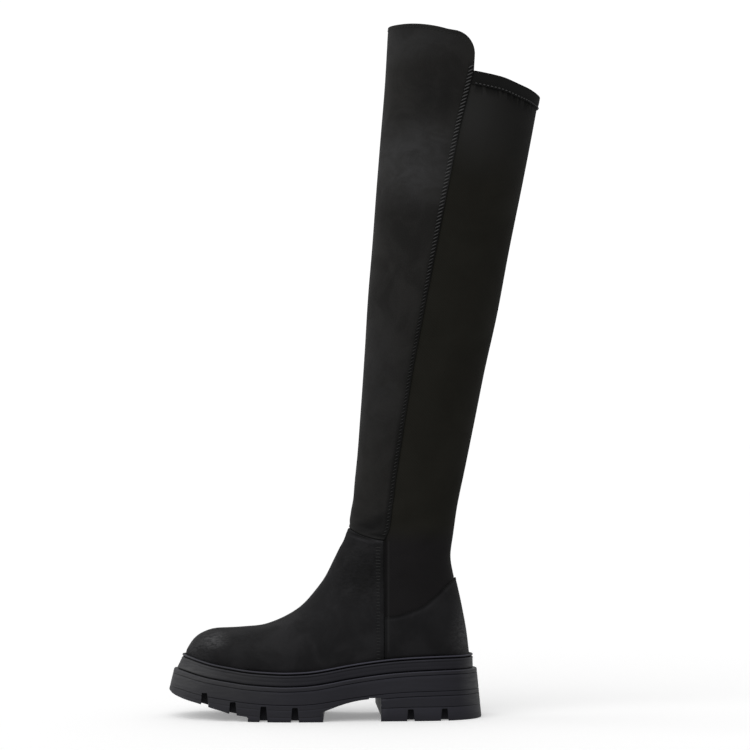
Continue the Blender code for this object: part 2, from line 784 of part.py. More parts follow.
def build_midsole(parts, material):
    """The platform's upper band, with a bead along its top and a groove below that."""
    profile = (
        # offset beyond the band's side, depth
        (-0.8 * MM, 0.0),
        (0.0, 0.7 * MM),
        (0.0, 3.0 * MM),
        (-0.5 * MM, 3.5 * MM),
        (0.0, 4.0 * MM),
        (0.0, BAND_HEIGHT - 1.2 * MM),
        (-0.8 * MM, BAND_HEIGHT - GAP),
    )
    rings = [
        ring(
            lambda share, o=offset, d=depth: band_reach(share, d) + o,
            lambda share, d=depth: sole_top(share) - d,
        )
        for offset, depth in profile
    ]
    ring_solid("midsole", rings, parts, material)


def build_insole(parts, material):
    """The footbed, inside the upper and on the midsole."""
    inset = -(WALL + INSOLE_CLEARANCE)
    profile = (
        # offset, height above the midsole
        (inset - 1 * MM, GAP + INSOLE_THICKNESS),
        (inset, GAP + INSOLE_THICKNESS - 0.8 * MM),
        (inset, GAP),
    )
    rings = [
        ring(offset, lambda share, up=height: sole_top(share) + up)
        for offset, height in profile
    ]
    ring_solid("insole", rings, parts, material)


def ledge_height(share):
    return sole_top(share) - BAND_HEIGHT


def build_outsole(parts, cutters, material):
    """The wide lower band with its grooves, the toe spring, the arch, the lugs and the heel."""
    rings = [
        ring(lambda s: outsole_reach(s, 0) - 0.6 * MM, ledge_height),
        ring(lambda s: outsole_reach(s, 0), lambda s: ledge_height(s) - 0.6 * MM),
    ]
    for depth, heel_depth, start in GROOVES:
        for step, cut in ((-0.5, 0), (0, 1), (0.5, 0)):
            def below(s, shift=step * GROOVE_WIDTH, d=depth, h=heel_depth):
                t = np.clip((s - BALL_SHARE) / (0.9 - BALL_SHARE), 0, 1)
                return d + (h - d) * t + shift

            def reach(s, cut=cut, start=start, below=below):
                on = np.clip((s - start) / GROOVE_FADE, 0, 1)
                return outsole_reach(s, below(s)) - cut * GROOVE_DEPTH * on

            rings.append(ring(reach, lambda s, below=below: ledge_height(s) - below(s)))
    rings.append(ring(lambda s: outsole_reach(s, ledge_height(s)), 1.2 * MM))
    rings.append(ring(lambda s: outsole_reach(s, ledge_height(s)) - 1.2 * MM, 0.0))
    outsole = ring_solid("outsole", rings, parts, material)
    add_boolean(outsole, side_prism("tread_cut", [tread_outline()], cutters), "INTERSECT")
    for number, (middle, depth, side, run) in enumerate(NOTCHES):
        outline = notch(middle, depth)
        for sign, word in ((-1, "outer"), (1, "inner")):
            across = sorted((sign * (side + run), sign * (side - run)))
            name = f"{word}_notch_{number}"
            add_boolean(outsole, side_prism(name, [outline], cutters, across), "DIFFERENCE")
    add_boolean(outsole, breast_cutter(cutters), "DIFFERENCE")


def notch(middle, depth):
    """Side view of a notch in the tread, narrower at its top."""
    floor = float(toe_tread(middle)) if middle < FOREFOOT_START else 0
    top, low = floor + depth, floor - depth / 2
    half = NOTCH_WIDTH / 2
    spread = half + NOTCH_TAPER * (top - low)
    return [(middle - spread, low), (middle - half, top), (middle + half, top), (middle + spread, low)]


def sole_tip():
    return TOE_X - float(outsole_reach(0.0, ledge_height(0.0) - TOE_RISE))


def toe_tread(x):
    """Height of the tread under the toe."""
    forward = (FOREFOOT_START - np.asarray(x)) / (FOREFOOT_START - sole_tip())
    return TOE_STEP + smooth(forward, TOE_TREAD, 1) * (TOE_RISE - TOE_STEP)


def tread_outline():
    """Side view of the tread: the toe's slope, the forefoot, the arch and the heel."""
    below = -1 * MM
    toe = np.linspace(sole_tip() - ARCH_HEIGHT, FOREFOOT_START, 14)
    points = list(zip(toe, toe_tread(toe)))
    points += [(FOREFOOT_START, below), (FOREFOOT_END, below)]
    breast = HEEL_START - BREAST_SLANT
    for back in np.linspace(0, 1, 8):
        x = FOREFOOT_END + back * (breast - FOREFOOT_END)
        z = ARCH_START + smooth(back, ARCH_LINE, 1) * (ARCH_HEIGHT - ARCH_START)
        points.append((x, float(z)))
    corner = BREAST_CORNER - 0.8 * BREAST_SLANT
    points += [(breast, BREAST_CORNER), (HEEL_START, corner), (HEEL_START, below)]
    far, above = foot_x(1.2), 2 * HEEL_STACK
    return points + [(far, below), (far, above), (points[0][0], above)]


def breast_cutter(collection):
    """Slants the heel's front face: forward on the inner side."""
    run = BREAST_SLANT / BALL_WIDTH
    far = 0.7 * BALL_WIDTH
    plan = [(HEEL_START - run * (y + BALL_WIDTH / 2), y) for y in (-far, BALL_WIDTH / 2)]
    front = HEEL_START - 2 * BREAST_SLANT
    plan += [(front, BALL_WIDTH / 2), (front, -far)]
    bm = bmesh.new()
    base = bm.faces.new([bm.verts.new((x, y, -2 * MM)) for x, y in plan])
    for item in bmesh.ops.extrude_face_region(bm, geom=[base])["geom"]:
        if isinstance(item, bmesh.types.BMVert):
            item.co.z = ARCH_HEIGHT + ARCH_STEP
    return cutter("breast_cut", finish_mesh(bm, "breast_cut"), collection)


def main():
    for old in list(bpy.data.objects):
        bpy.data.objects.remove(old)
    parts = bpy.data.collections.new("thigh_high_boot")
    cutters = bpy.data.collections.new("cutters")
    for collection in (parts, cutters):
        bpy.context.scene.collection.children.link(collection)
    rubber = new_material("rubber", (0.03, 0.03, 0.035), 0.6)
    lining = new_material("lining", (0.03, 0.028, 0.027), 0.9)
    build_outsole(parts, cutters, rubber)
    build_midsole(parts, rubber)
    build_welt(parts, rubber)
    build_insole(parts, lining)
    build_upper(parts, cutters)


main()
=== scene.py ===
"""Looks of a black thigh high boot with a thick lugged sole, standing empty on a white floor.

Metres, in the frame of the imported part: +Z up, toe along -X, outer side facing -Y.
"""

import math

import bmesh
import bpy
import numpy as np
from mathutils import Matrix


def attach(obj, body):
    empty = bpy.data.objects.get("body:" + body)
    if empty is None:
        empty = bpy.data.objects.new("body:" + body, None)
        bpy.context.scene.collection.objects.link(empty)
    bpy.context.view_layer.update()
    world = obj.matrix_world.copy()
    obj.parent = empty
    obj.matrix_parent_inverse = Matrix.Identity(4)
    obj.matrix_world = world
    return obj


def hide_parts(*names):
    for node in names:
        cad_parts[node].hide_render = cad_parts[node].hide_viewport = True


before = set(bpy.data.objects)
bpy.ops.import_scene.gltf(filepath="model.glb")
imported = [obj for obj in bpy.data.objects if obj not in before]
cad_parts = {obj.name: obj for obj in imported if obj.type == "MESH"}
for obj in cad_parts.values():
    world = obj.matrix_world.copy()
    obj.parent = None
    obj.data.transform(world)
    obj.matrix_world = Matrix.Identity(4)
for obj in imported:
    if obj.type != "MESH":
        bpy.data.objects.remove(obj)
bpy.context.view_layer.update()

MM = 0.001

# The part's own sizes, repeated.
UPPER_LENGTH = 246 * MM
HEEL_REACH = 34.6 * MM
BALL_WIDTH = 87 * MM
INSTEP_RISE = 105 * MM
WALL = 1.4 * MM
GAP = 0.3 * MM
VAMP_THICKNESS = 1.5 * MM
COUNTER_THICKNESS = 1.3 * MM
SHAFT_HEIGHT = 550 * MM
ANKLE_WIDTH = 69 * MM
COLLAR_WIDTH = 114 * MM
FRONT_LEAN = 34.6 * MM
BACK_LEAN = 87.7 * MM
FRONT_THICKNESS = 1.1 * MM
HEM_THICKNESS = 0.8 * MM
HEM_WIDTH = 12 * MM
NOTCH_DROP = 42.5 * MM
HEM_DROP = 23 * MM
FLAP_SLOPE = 7 * MM
FLAP_RADIUS = 21 * MM
FLAP_REACH = 0.8 * MM
HEEL_STACK = 55.8 * MM
BALL_STACK = 42.4 * MM
TOE_SPRING = 12.9 * MM
WELT_HEIGHT = 2.6 * MM
WELT_REACH = 3 * MM
BAND_HEIGHT = 10 * MM
BAND_FLARE = 0.04
TOE_BAND_FLARE = 0.5
LEDGE = 3 * MM
TOE_LEDGE = 2.2 * MM
OUTSOLE_FLARE = 0.1
TOE_OUTSOLE_FLARE = 0.24
INSOLE_CLEARANCE = 0.6 * MM
TOE_STEP = 4.3 * MM
TOE_RISE = 24.5 * MM
ARCH_START = 8.3 * MM
ARCH_HEIGHT = 19.8 * MM
ARCH_STEP = 0.5 * MM
FOREFOOT_START = -156.6 * MM
FOREFOOT_END = -91.4 * MM
HEEL_START = -41.4 * MM
BREAST_SLANT = 5.2 * MM
BREAST_CORNER = 8.8 * MM
NOTCH_WIDTH = 4.8 * MM
NOTCH_TAPER = 0.09
NOTCH_ROUNDING = 0.7 * MM
NOTCH_RUN = 21 * MM
HEEL_NOTCH_RUN = 17 * MM
BALL_SHARE = 0.35
INSTEP_UP = 105 / 550
ANKLE_TOP = 0.3
ANKLE_FRONT = 0.5817
FOOT_SEAM = 0.702
TOE_X = HEEL_REACH - UPPER_LENGTH
OVERLAY = GAP + VAMP_THICKNESS

OUTLINE = np.array([
    # share, outer, inner
    (0.00, -0.045, 0.045), (0.01, 0.085, 0.165), (0.05, 0.225, 0.310), (0.10, 0.325, 0.400),
    (0.20, 0.440, 0.478), (0.30, 0.497, 0.500), (0.36, 0.511, 0.483), (0.45, 0.500, 0.427),
    (0.55, 0.460, 0.362), (0.65, 0.415, 0.328), (0.75, 0.380, 0.326), (0.85, 0.355, 0.333),
    (0.92, 0.305, 0.300), (0.97, 0.210, 0.210), (1.00, 0.000, 0.000),
])
WELT_LINE = np.array([
    # share, rise
    (0.000, 1.00), (0.022, 0.91), (0.050, 0.75), (0.100, 0.50), (0.160, 0.31), (0.220, 0.14),
    (0.290, 0.04), (0.350, 0.00), (0.410, 0.03), (0.450, 0.09), (0.500, 0.23), (0.560, 0.43),
    (0.620, 0.60), (0.680, 0.74), (0.740, 0.85), (0.840, 0.96), (0.920, 1.00), (1.000, 1.00),
])
FOOT_SECTIONS = np.array([
    # foot, front, rise, outer, inner, ridge, belly, top, low
    (0.000, 0.000, 0.000, -0.045, 0.045, 0.045, 0.50, 2.20, 2.0),
    (0.006, 0.003, 0.029, 0.062, 0.150, 0.045, 0.45, 2.20, 2.0),
    (0.022, 0.012, 0.075, 0.165, 0.250, 0.045, 0.42, 2.20, 2.0),
    (0.050, 0.029, 0.148, 0.255, 0.340, 0.045, 0.38, 2.20, 2.0),
    (0.090, 0.056, 0.217, 0.335, 0.410, 0.045, 0.34, 2.25, 2.0),
    (0.130, 0.093, 0.264, 0.395, 0.455, 0.045, 0.32, 2.30, 2.0),
    (0.180, 0.142, 0.290, 0.450, 0.490, 0.045, 0.30, 2.30, 2.0),
    (0.235, 0.203, 0.315, 0.490, 0.512, 0.045, 0.30, 2.30, 2.0),
    (0.295, 0.262, 0.338, 0.515, 0.520, 0.045, 0.30, 2.25, 2.0),
    (0.360, 0.315, 0.380, 0.527, 0.500, 0.045, 0.28, 2.20, 2.0),
    (0.430, 0.367, 0.432, 0.520, 0.468, 0.045, 0.27, 2.10, 2.0),
    (0.510, 0.418, 0.492, 0.495, 0.425, 0.040, 0.27, 2.00, 2.0),
    (0.590, 0.460, 0.570, 0.465, 0.395, 0.035, 0.29, 1.95, 2.0),
    (0.680, 0.499, 0.668, 0.440, 0.382, 0.030, 0.33, 1.95, 2.0),
    (0.785, 0.529, 0.785, 0.420, 0.382, 0.020, 0.38, 1.95, 2.0),
    (0.895, 0.550, 0.879, 0.408, 0.388, 0.010, 0.43, 2.00, 2.1),
    (0.965, 0.565, 0.950, 0.402, 0.390, 0.005, 0.47, 2.00, 2.2),
    (1.000, 0.574, 1.000, 0.398, 0.392, 0.000, 0.50, 2.00, 2.3),
])
SHAFT_SECTIONS = np.array([
    # back_up, back, back_lean, front_up, front_lean, swell, low
    (0.0335, 0.991, 0.000, 0.1985, 0.000, 0.01, 2.30),
    (0.0800, 0.972, 0.000, 0.2125, 0.036, 0.00, 2.20),
    (0.1215, 0.952, 0.000, 0.2285, 0.064, 0.00, 2.10),
    (0.1550, 0.940, 0.000, 0.2495, 0.115, 0.00, 2.05),
    (0.1885, 0.940, 0.025, 0.2765, 0.153, 0.02, 2.05),
    (0.2335, 0.940, 0.066, 0.3085, 0.204, 0.07, 2.05),
    (0.2925, 0.940, 0.142, 0.3565, 0.267, 0.18, 2.05),
    (0.3645, 0.940, 0.234, 0.4125, 0.331, 0.33, 2.05),
    (0.4495, 0.940, 0.340, 0.4845, 0.407, 0.49, 2.05),
    (0.5405, 0.940, 0.467, 0.5645, 0.483, 0.62, 2.05),
    (0.6445, 0.940, 0.589, 0.6525, 0.598, 0.73, 2.05),
    (0.7485, 0.940, 0.721, 0.7485, 0.713, 0.845, 2.05),
    (0.8320, 0.940, 0.822, 0.8285, 0.814, 0.91, 2.05),
    (0.9135, 0.940, 0.914, 0.9085, 0.916, 0.96, 2.05),
    (1.0000, 0.940, 1.000, 1.0000, 1.000, 1.00, 2.05),
    (1.0400, 0.940, 1.040, 1.0400, 1.040, 1.01, 2.05),
])
SIDE_SEAM = np.array([
    # up, depth
    (0.150, 0.40), (0.185, 0.39), (0.275, 0.37), (0.415, 0.39),
    (0.650, 0.46), (0.824, 0.505), (0.923, 0.548), (1.040, 0.585),
])
ANKLE_SEAM = np.array([
    # along, up
    (-0.30, 0.212), (0.00, 0.200), (0.25, 0.192), (0.60, 0.186), (1.00, 0.182),
])
COUNTER_EDGE = np.array([
    # share, rise
    (0.702, 0.325), (0.740, 0.335), (0.790, 0.368), (0.832, 0.406), (0.868, 0.468),
    (0.897, 0.527), (0.919, 0.578), (0.961, 0.634), (1.060, 0.680),
])
HEM_EDGE = np.array([
    # depth, drop
    (0.00, 0.00), (0.16, 0.08), (0.40, 0.22), (0.64, 0.46),
    (0.78, 0.60), (0.90, 0.76), (1.00, 0.92), (1.15, 1.10),
])
TOE_TREAD = np.array([
    # forward, rise
    (0.00, 0.00), (0.21, 0.11), (0.32, 0.23), (0.42, 0.32), (0.52, 0.43), (0.62, 0.53),
    (0.72, 0.61), (0.83, 0.72), (0.94, 0.86), (1.00, 1.00), (1.20, 1.50),
])
ARCH_LINE = np.array([
    # back, rise
    (0.00, 0.06), (0.15, 0.27), (0.30, 0.48), (0.45, 0.66),
    (0.60, 0.80), (0.75, 0.90), (1.00, 1.00),
])
NOTCHES = (
    # middle, depth, side, run
    (-194.7 * MM, 10.8 * MM, 46 * MM, NOTCH_RUN),
    (-169.8 * MM, 10.8 * MM, 54 * MM, NOTCH_RUN),
    (-143.1 * MM, 13.5 * MM, 58 * MM, NOTCH_RUN),
    (-115.8 * MM, 12.6 * MM, 58 * MM, NOTCH_RUN),
    (-15.5 * MM, 10.3 * MM, 46 * MM, HEEL_NOTCH_RUN),
    (14.0 * MM, 10.5 * MM, 43 * MM, HEEL_NOTCH_RUN),
)
# Grooves round the side of the outsole: depth below the ledge at the ball and
# the heel, share of the foot where it begins, and how deep it is cut.
GROOVES = (
    (3.9 * MM, 3.5 * MM, -1.0, 0.55 * MM),
    (15.2 * MM, 17.6 * MM, -1.0, 0.5 * MM),
    (19.5 * MM, 21.6 * MM, 0.68, 0.55 * MM),
    (25.5 * MM, 31.2 * MM, 0.68, 0.4 * MM),
)
GROOVE_FADE = 0.03
GROOVE_WIDTH = 0.9 * MM
GROOVE_SECTION = (
    # place across the groove in widths, share of its depth, tone: painted shade in the groove, a
    # small painted highlight on its lower lip
    (-0.5, 0, -0.1), (-0.25, 0.6, -0.9), (0, 1, -0.8), (0.25, 0.6, 0.0), (0.5, 0, 0.15),
)
OUTSOLE_EDGE = (
    # set in, fall below the ledge, in mm, tone: a painted highlight on the ledge's rounded edge
    (0.8, 0.0, 0), (0.32, 0.1, 0.7), (0.06, 0.4, 0.5),
)
OUTSOLE_EDGE_END = 0.8 * MM
OUTSOLE_FOOT = (
    # height at which the side's reach is taken, set in, height, in mm, tone
    (1.2, 0.0, 1.2, 0), (0.0, 0.35, 0.35, 0.1), (0.0, 1.2, 0.0, 0),
)
BAND_PROFILE = (
    # offset beyond the band's side, depth, in mm, tone: painted shade in the grooves and the
    # undercut, a small painted highlight on the bead
    (-2.4, 0.0, -0.9), (-0.75, 0.02, -0.6), (-0.35, 0.15, 0), (-0.1, 0.45, 0.15),
    (0.0, 0.9, 0.1), (0.0, 1.5, 0), (-0.12, 1.8, -0.5), (-0.25, 2.2, -0.6), (-0.25, 2.7, -0.1),
    (-0.18, 3.2, -0.1), (-0.22, 5.2, -0.1), (-0.3, 5.7, -0.4), (-0.22, 6.2, -0.15),
    (-0.2, 8.0, -0.1), (-0.25, 8.7, -0.1), (-0.45, 9.15, -0.3), (-0.8, 9.5, -0.7),
    (-1.2, 9.75, -0.9),
)
SIPE_FIELDS = (
    # cross grooves under the sole: first x, last x, reach to each side
    (-150 * MM, -97 * MM, 19 * MM),
    (-33 * MM, 30 * MM, 13 * MM),
)
SIPE_PITCH = 5.2 * MM
SIPE_WIDTH = 1.4 * MM
SIPE_DEPTH = 1.1 * MM

# Stitches: their pitch along each seam
SIDE_PITCH = 3.2 * MM
LADDER_PITCH = 2.8 * MM
LADDER_REACH = (1.6 * MM, 7.0 * MM)
HEM_PITCH = 3.5 * MM
FLAP_PITCH = 3.3 * MM
THREAD_SIDES = 6              # of a thread's section
THREAD_STEPS = 6              # along a stitch

# Mesh steps
FOOT_STEPS = 150              # sections from the toe to the heel
SHAFT_STEPS = 9               # between two rows of the shaft's table
HALF = 40                     # points round half a section
WIDE = 2 * HALF
SOLE_STEPS = 110              # along one side of the sole
JOIN_REACH = 6 * MM           # smoothing where the foot's sections meet the shaft's
JOIN_SPREAD = 34 * MM
JOIN_ROWS = (45, 25)          # rows smoothed before and after the join
FIT_ROWS = (90, 50)           # rows that they are fitted to
SECTION_POINTS = 120          # down one side of a section before it is evened out
EDGE = np.array([0, 0.2, 0.5, 1.0, 1.7, 2.6, 4.0]) * MM     # rows beside a free edge
FINE_ROWS = np.arange(5.2, 24, 1.3) * MM                    # rows beside the ankle seam
SEAM_STEP = 2.4 * MM          # along the edges of the foot's leathers
PANEL_STEP = 2.6 * MM
SKIRT = (2.2, 1.1)            # how far a leather runs down behind the welt, in mm
BELOW = -1 * MM               # where cutters of the tread end below the floor
VAMP_RUN = 0.2                # nominal lengths over which rows are spaced
LEG_RUN = 0.4
FLAP_RUN = 0.05
CORNER_STEPS = 24             # round the flap's corner
DENSE = np.linspace(0, 1, 240)[:, None]                     # along a column that is measured
ANKLE_POINTS = 40
HEM_POINTS = 50

# Camera: level, square to the boot's outer side.
CAMERA = (-46.6 * MM, -3.0, 300.3 * MM)
FIELD = 0.66                  # width of the view at the boot
SENSOR = 36

# Studio light: the room's own on the camera's side and behind the boot, and
# broad soft lights: strength, angle of the light's disc, tilt from straight
# down, and the way it comes from, in degrees from +X towards +Y.
STUDIO_FRONT = 0.32
STUDIO_BACK = 0.58
BACKDROP = 1.05               # brightness of the background that the camera sees
FLOOR_GLOW = 0.26             # keeps the contact shadow pale
FLOOR_REACH = 12
LIGHTS = (
    ("key", 1.3, 60, 46, -112),
    ("rim", 0.35, 40, 62, 172),
)


def smooth(at, table, column):
    """The monotone cubic through a table's column, against its first column."""
    xs, ys = table[:, 0], table[:, column]
    steps = np.diff(xs)
    slopes = np.diff(ys) / steps
    tangents = np.zeros(len(xs))
    tangents[0], tangents[-1] = slopes[0], slopes[-1]
    before, after = slopes[:-1], slopes[1:]
    same = before * after > 0
    weight_a = (2 * steps[1:] + steps[:-1])[same]
    weight_b = (steps[1:] + 2 * steps[:-1])[same]
    mean = (weight_a + weight_b) / (weight_a / before[same] + weight_b / after[same])
    tangents[1:-1][same] = mean
    at = np.clip(np.asarray(at, float), xs[0], xs[-1])
    k = np.clip(np.searchsorted(xs, at, side="right") - 1, 0, len(xs) - 2)
    h = steps[k]
    t = (at - xs[k]) / h
    return (
        (1 + 2 * t) * (1 - t) ** 2 * ys[k]
        + t * (1 - t) ** 2 * h * tangents[k]
        + t * t * (3 - 2 * t) * ys[k + 1]
        + t * t * (t - 1) * h * tangents[k + 1]
    )


def bell(value, middle, spread):
    """1 at the middle, falling softly away on both sides."""
    return np.exp(-((value - middle) / spread) ** 2)


def foot_x(share):
    return TOE_X + np.asarray(share) * UPPER_LENGTH


def round_ended(share, table, column):
    """A column against the share of the foot, free to run square to the foot's ends."""
    angles = table.copy()
    angles[:, 0] = np.arccos(1 - 2 * table[:, 0])
    return smooth(np.arccos(1 - 2 * np.clip(share, 0, 1)), angles, column)


def half_width(share, column):
    return BALL_WIDTH * round_ended(share, OUTLINE, column)


def welt_top(share):
    rise = smooth(share, WELT_LINE, 1)
    span = np.where(np.asarray(share) < BALL_SHARE, TOE_SPRING, HEEL_STACK - BALL_STACK)
    return BALL_STACK + rise * span


def sole_top(share):
    return welt_top(share) - WELT_HEIGHT


def shaft_z(up):
    """Height of a share of the shaft, which follows the instep's rise up to the ankle."""
    ankle = INSTEP_RISE / INSTEP_UP
    above = (SHAFT_HEIGHT - ANKLE_TOP * ankle) / (1 - ANKLE_TOP)
    up = np.asarray(up, float)
    return HEEL_STACK + np.minimum(up, ANKLE_TOP) * ankle + np.maximum(up - ANKLE_TOP, 0) * above


def shaft_up(z):
    shares = np.linspace(0, 1.1, 23)
    return np.interp(z, shaft_z(shares), shares)


def section_rows():
    """Rows: foot x, z, front x, z, half widths at the foot and greatest, ridge, belly, top, low."""
    shares = (1 - np.cos(np.linspace(0, math.pi, FOOT_STEPS + 1))) / 2
    front, rise, outer, inner, ridge, belly, top, low = (
        round_ended(shares, FOOT_SECTIONS, column) for column in range(1, FOOT_SECTIONS.shape[1])
    )
    foot = np.column_stack([
        foot_x(shares), welt_top(shares), foot_x(front), welt_top(shares) + rise * INSTEP_RISE,
        half_width(shares, 1), half_width(shares, 2),
        outer * BALL_WIDTH, inner * BALL_WIDTH, ridge * BALL_WIDTH, belly, top, low,
    ])
    shaft = [foot[-1]]
    for back_up, back, back_lean, front_up, front_lean, swell, low in SHAFT_SECTIONS:
        half = (ANKLE_WIDTH + swell * (COLLAR_WIDTH - ANKLE_WIDTH)) / 2
        shaft.append((
            foot_x(back) + back_lean * BACK_LEAN, shaft_z(back_up),
            foot_x(ANKLE_FRONT) + front_lean * FRONT_LEAN, shaft_z(front_up),
            0, 0, half, half, 0, 0.5, 2.05, low,
        ))
    table = np.column_stack([np.arange(len(shaft)), np.array(shaft)])
    at = np.linspace(0, len(shaft) - 1, (len(shaft) - 1) * SHAFT_STEPS + 1)[1:]
    dense = np.column_stack([smooth(at, table, k + 1) for k in range(foot.shape[1])])
    return np.vstack([foot, dense])


def half_section(row, side):
    """Points down one side of a section from the ridge, with their share of its height."""
    foot_at, front_at = row[0:2], row[2:4]
    foot_half, widest = (row[4], row[6]) if side < 0 else (row[5], row[7])
    ridge, belly, top, low = row[8:12]
    angle = np.linspace(0, math.pi / 2, SECTION_POINTS)
    sine, cosine = np.sin(angle), np.clip(np.cos(angle), 0, 1)
    high_h = belly + (1 - belly) * cosine ** (2 / top)
    high_q = sine ** (2 / top)
    low_h = belly * (1 - sine ** (2 / low))
    low_q = cosine ** (2 / low)
    h = np.concatenate([high_h, low_h[1:]])
    q_high = ridge * (1 - high_q) + side * widest * high_q
    q_low = side * (foot_half + (widest - foot_half) * low_q)
    y = np.concatenate([q_high, q_low[1:]])
    line = foot_at[None, :] + h[:, None] * (front_at - foot_at)[None, :]
    return np.column_stack([line[:, 0], y, line[:, 1], h])


def lengths_along(points):
    """Distance of each point from the first, along the polyline."""
    steps = np.linalg.norm(np.diff(points, axis=0), axis=-1)
    return np.concatenate([np.zeros((1,) + steps.shape[1:]), np.cumsum(steps, axis=0)])


def even_points(points, count):
    along = lengths_along(points[:, :3])
    if along[-1] < 1e-9:
        return np.repeat(points[:1], count + 1, axis=0)
    at = np.linspace(0, along[-1], count + 1)
    return np.column_stack([np.interp(at, along, points[:, k]) for k in range(points.shape[1])])


ROWS = section_rows()


def build_grid():
    grid = []
    for row in ROWS:
        outer = even_points(half_section(row, -1), HALF)
        inner = even_points(half_section(row, 1), HALF)
        grid.append(np.vstack([outer[::-1], inner[1:]]))
    return np.array(grid)


def padded(field):
    """The field with one more row and column on each side; behind the heel the two edges meet."""
    left = 2 * field[:, :1] - field[:, 1:2]
    right = 2 * field[:, -1:] - field[:, -2:-1]
    left[FOOT_STEPS:] = field[FOOT_STEPS:, -2:-1]
    right[FOOT_STEPS:] = field[FOOT_STEPS:, 1:2]
    wide = np.concatenate([left, field, right], axis=1)
    return np.concatenate([2 * wide[:1] - wide[1:2], wide, 2 * wide[-1:] - wide[-2:-1]])


def normal_field(grid):
    pad = padded(grid)
    up = pad[2:, 1:-1] - pad[:-2, 1:-1]
    across = pad[1:-1, 2:] - pad[1:-1, :-2]
    normals = np.cross(up, across)
    for column, sign in ((0, 1), (WIDE, -1)):
        tangent = up[:FOOT_STEPS, column]
        flat = np.column_stack([sign * tangent[:, 1], -sign * tangent[:, 0], np.zeros(FOOT_STEPS)])
        normals[:FOOT_STEPS, column] = flat
    size = np.linalg.norm(normals, axis=2, keepdims=True)
    normals = normals / np.maximum(size, 1e-12)
    normals[0] = (-1, 0, 0)
    return normals


def eased(grid):
    """The grid with its sides smoothed where the foot's sections meet the shaft's."""
    sources = np.concatenate([
        np.arange(FOOT_STEPS - FIT_ROWS[0], FOOT_STEPS, 3),
        np.arange(FOOT_STEPS, FOOT_STEPS + FIT_ROWS[1]),
    ])
    made = grid.copy()
    for side, columns in ((-1, np.arange(HALF + 1)), (1, np.arange(HALF, WIDE + 1))):
        near = grid[sources][:, columns]
        area = np.abs(
            np.gradient(near[..., 0], axis=0) * np.gradient(near[..., 2], axis=1)
            - np.gradient(near[..., 0], axis=1) * np.gradient(near[..., 2], axis=0)
        ).ravel()
        near = near.reshape(-1, 3)
        seam = grid[FOOT_STEPS, columns]
        inner = np.minimum(columns % HALF if side < 0 else WIDE - columns, np.abs(columns - HALF))
        for row in range(FOOT_STEPS - JOIN_ROWS[0], FOOT_STEPS + JOIN_ROWS[1]):
            points = grid[row, columns]
            dx = (near[:, 0] - points[:, :1]) / JOIN_REACH
            dz = (near[:, 2] - points[:, 2:]) / JOIN_REACH
            weights = np.exp(-0.5 * (dx ** 2 + dz ** 2)) * area
            basis = np.stack([np.ones_like(dx), dx, dz, dx * dx, dx * dz, dz * dz], axis=-1)
            heavy = basis * weights[..., None]
            matrix = np.einsum("tsi,tsj->tij", heavy, basis, optimize=True)
            vector = np.einsum("tsi,s->ti", heavy, near[:, 1] ** 2)
            matrix += 1e-9 * np.trace(matrix, axis1=1, axis2=2)[:, None, None] * np.eye(6)
            fitted = np.sqrt(np.maximum(np.linalg.solve(matrix, vector[..., None])[:, 0, 0], 0))
            away = points[:, None, [0, 2]] - seam[None][..., [0, 2]]
            away = np.linalg.norm(away, axis=2).min(axis=1)
            share = np.clip(2 - away / (0.5 * JOIN_SPREAD), 0, 1) * np.clip(inner / 4, 0, 1)
            made[row, columns, 1] += share * (side * fitted - points[:, 1])
    return made


GRID = build_grid()
HEIGHTS = GRID[:, :, 3]
GRID = eased(GRID[:, :, :3])
POINTS = padded(GRID)
NORMALS = padded(normal_field(GRID))


def cubic_weights(t):
    return np.stack([
        -0.5 * t + t ** 2 - 0.5 * t ** 3,
        1 - 2.5 * t ** 2 + 1.5 * t ** 3,
        0.5 * t + 2 * t ** 2 - 1.5 * t ** 3,
        -0.5 * t ** 2 + 0.5 * t ** 3,
    ], axis=-1)


def read_field(field, a, b):
    """A padded field at float rows a and columns b."""
    row = np.clip(np.floor(a).astype(int), 0, len(ROWS) - 2)
    column = np.clip(np.floor(b).astype(int), 0, WIDE - 1)
    rows = row[..., None] + np.arange(4)
    columns = column[..., None] + np.arange(4)
    values = field[rows[..., :, None], columns[..., None, :]]
    weights = cubic_weights(a - row), cubic_weights(b - column)
    return np.einsum("...i,...j,...ijk->...k", *weights, values)


# Soft forms of leather and cloth: (side, x, z, along, across, angle, rise). side 0
# is both. Sizes in mm, angle in degrees from level, rise outwards in mm.
WALL_FORMS = (
    (0, -32, 168, 34, 5.5, 12, -0.7),
    (0, -38, 181, 30, 6.5, 10, 0.8),
    (0, -30, 195, 32, 7, 8, -0.5),
    (0, -18, 136, 20, 6, 40, 0.7),
    (0, -8, 147, 24, 6, 35, -0.7),
    (0, 0, 160, 22, 8, 20, 0.5),
    (0, -70, 150, 16, 5, -35, -0.4),
    (-1, 14, 552, 26, 30, 80, -0.9),
    (-1, 10, 500, 30, 26, 20, 0.9),
    (-1, -8, 430, 40, 20, 60, -0.5),
    (1, 0, 470, 40, 24, 40, 0.7),
    (0, -20, 240, 34, 16, 15, -0.5),
    (0, -14, 270, 34, 14, 20, 0.4),
)
VAMP_CREASES = (
    (0, -58, 159, 10, 1.3, -16, -1.6),
    (0, -59, 156.6, 10, 1.3, -16, 1.1),
    (0, -59, 161.2, 9, 1.0, -14, 0.8),
    (0, -42, 155.2, 6, 1.0, 0, 1.1),
    (0, -44, 151, 6, 1.6, 6, -0.6),
    (0, -66, 150, 9, 3.0, 60, -0.5),
    (0, -84, 132, 16, 3.5, 48, 0.35),
    (0, -76, 136, 16, 2.6, 50, -0.45),
    (0, -104, 96, 20, 5, 42, -0.3),
    (0, -118, 84, 18, 5, 35, 0.3),
)
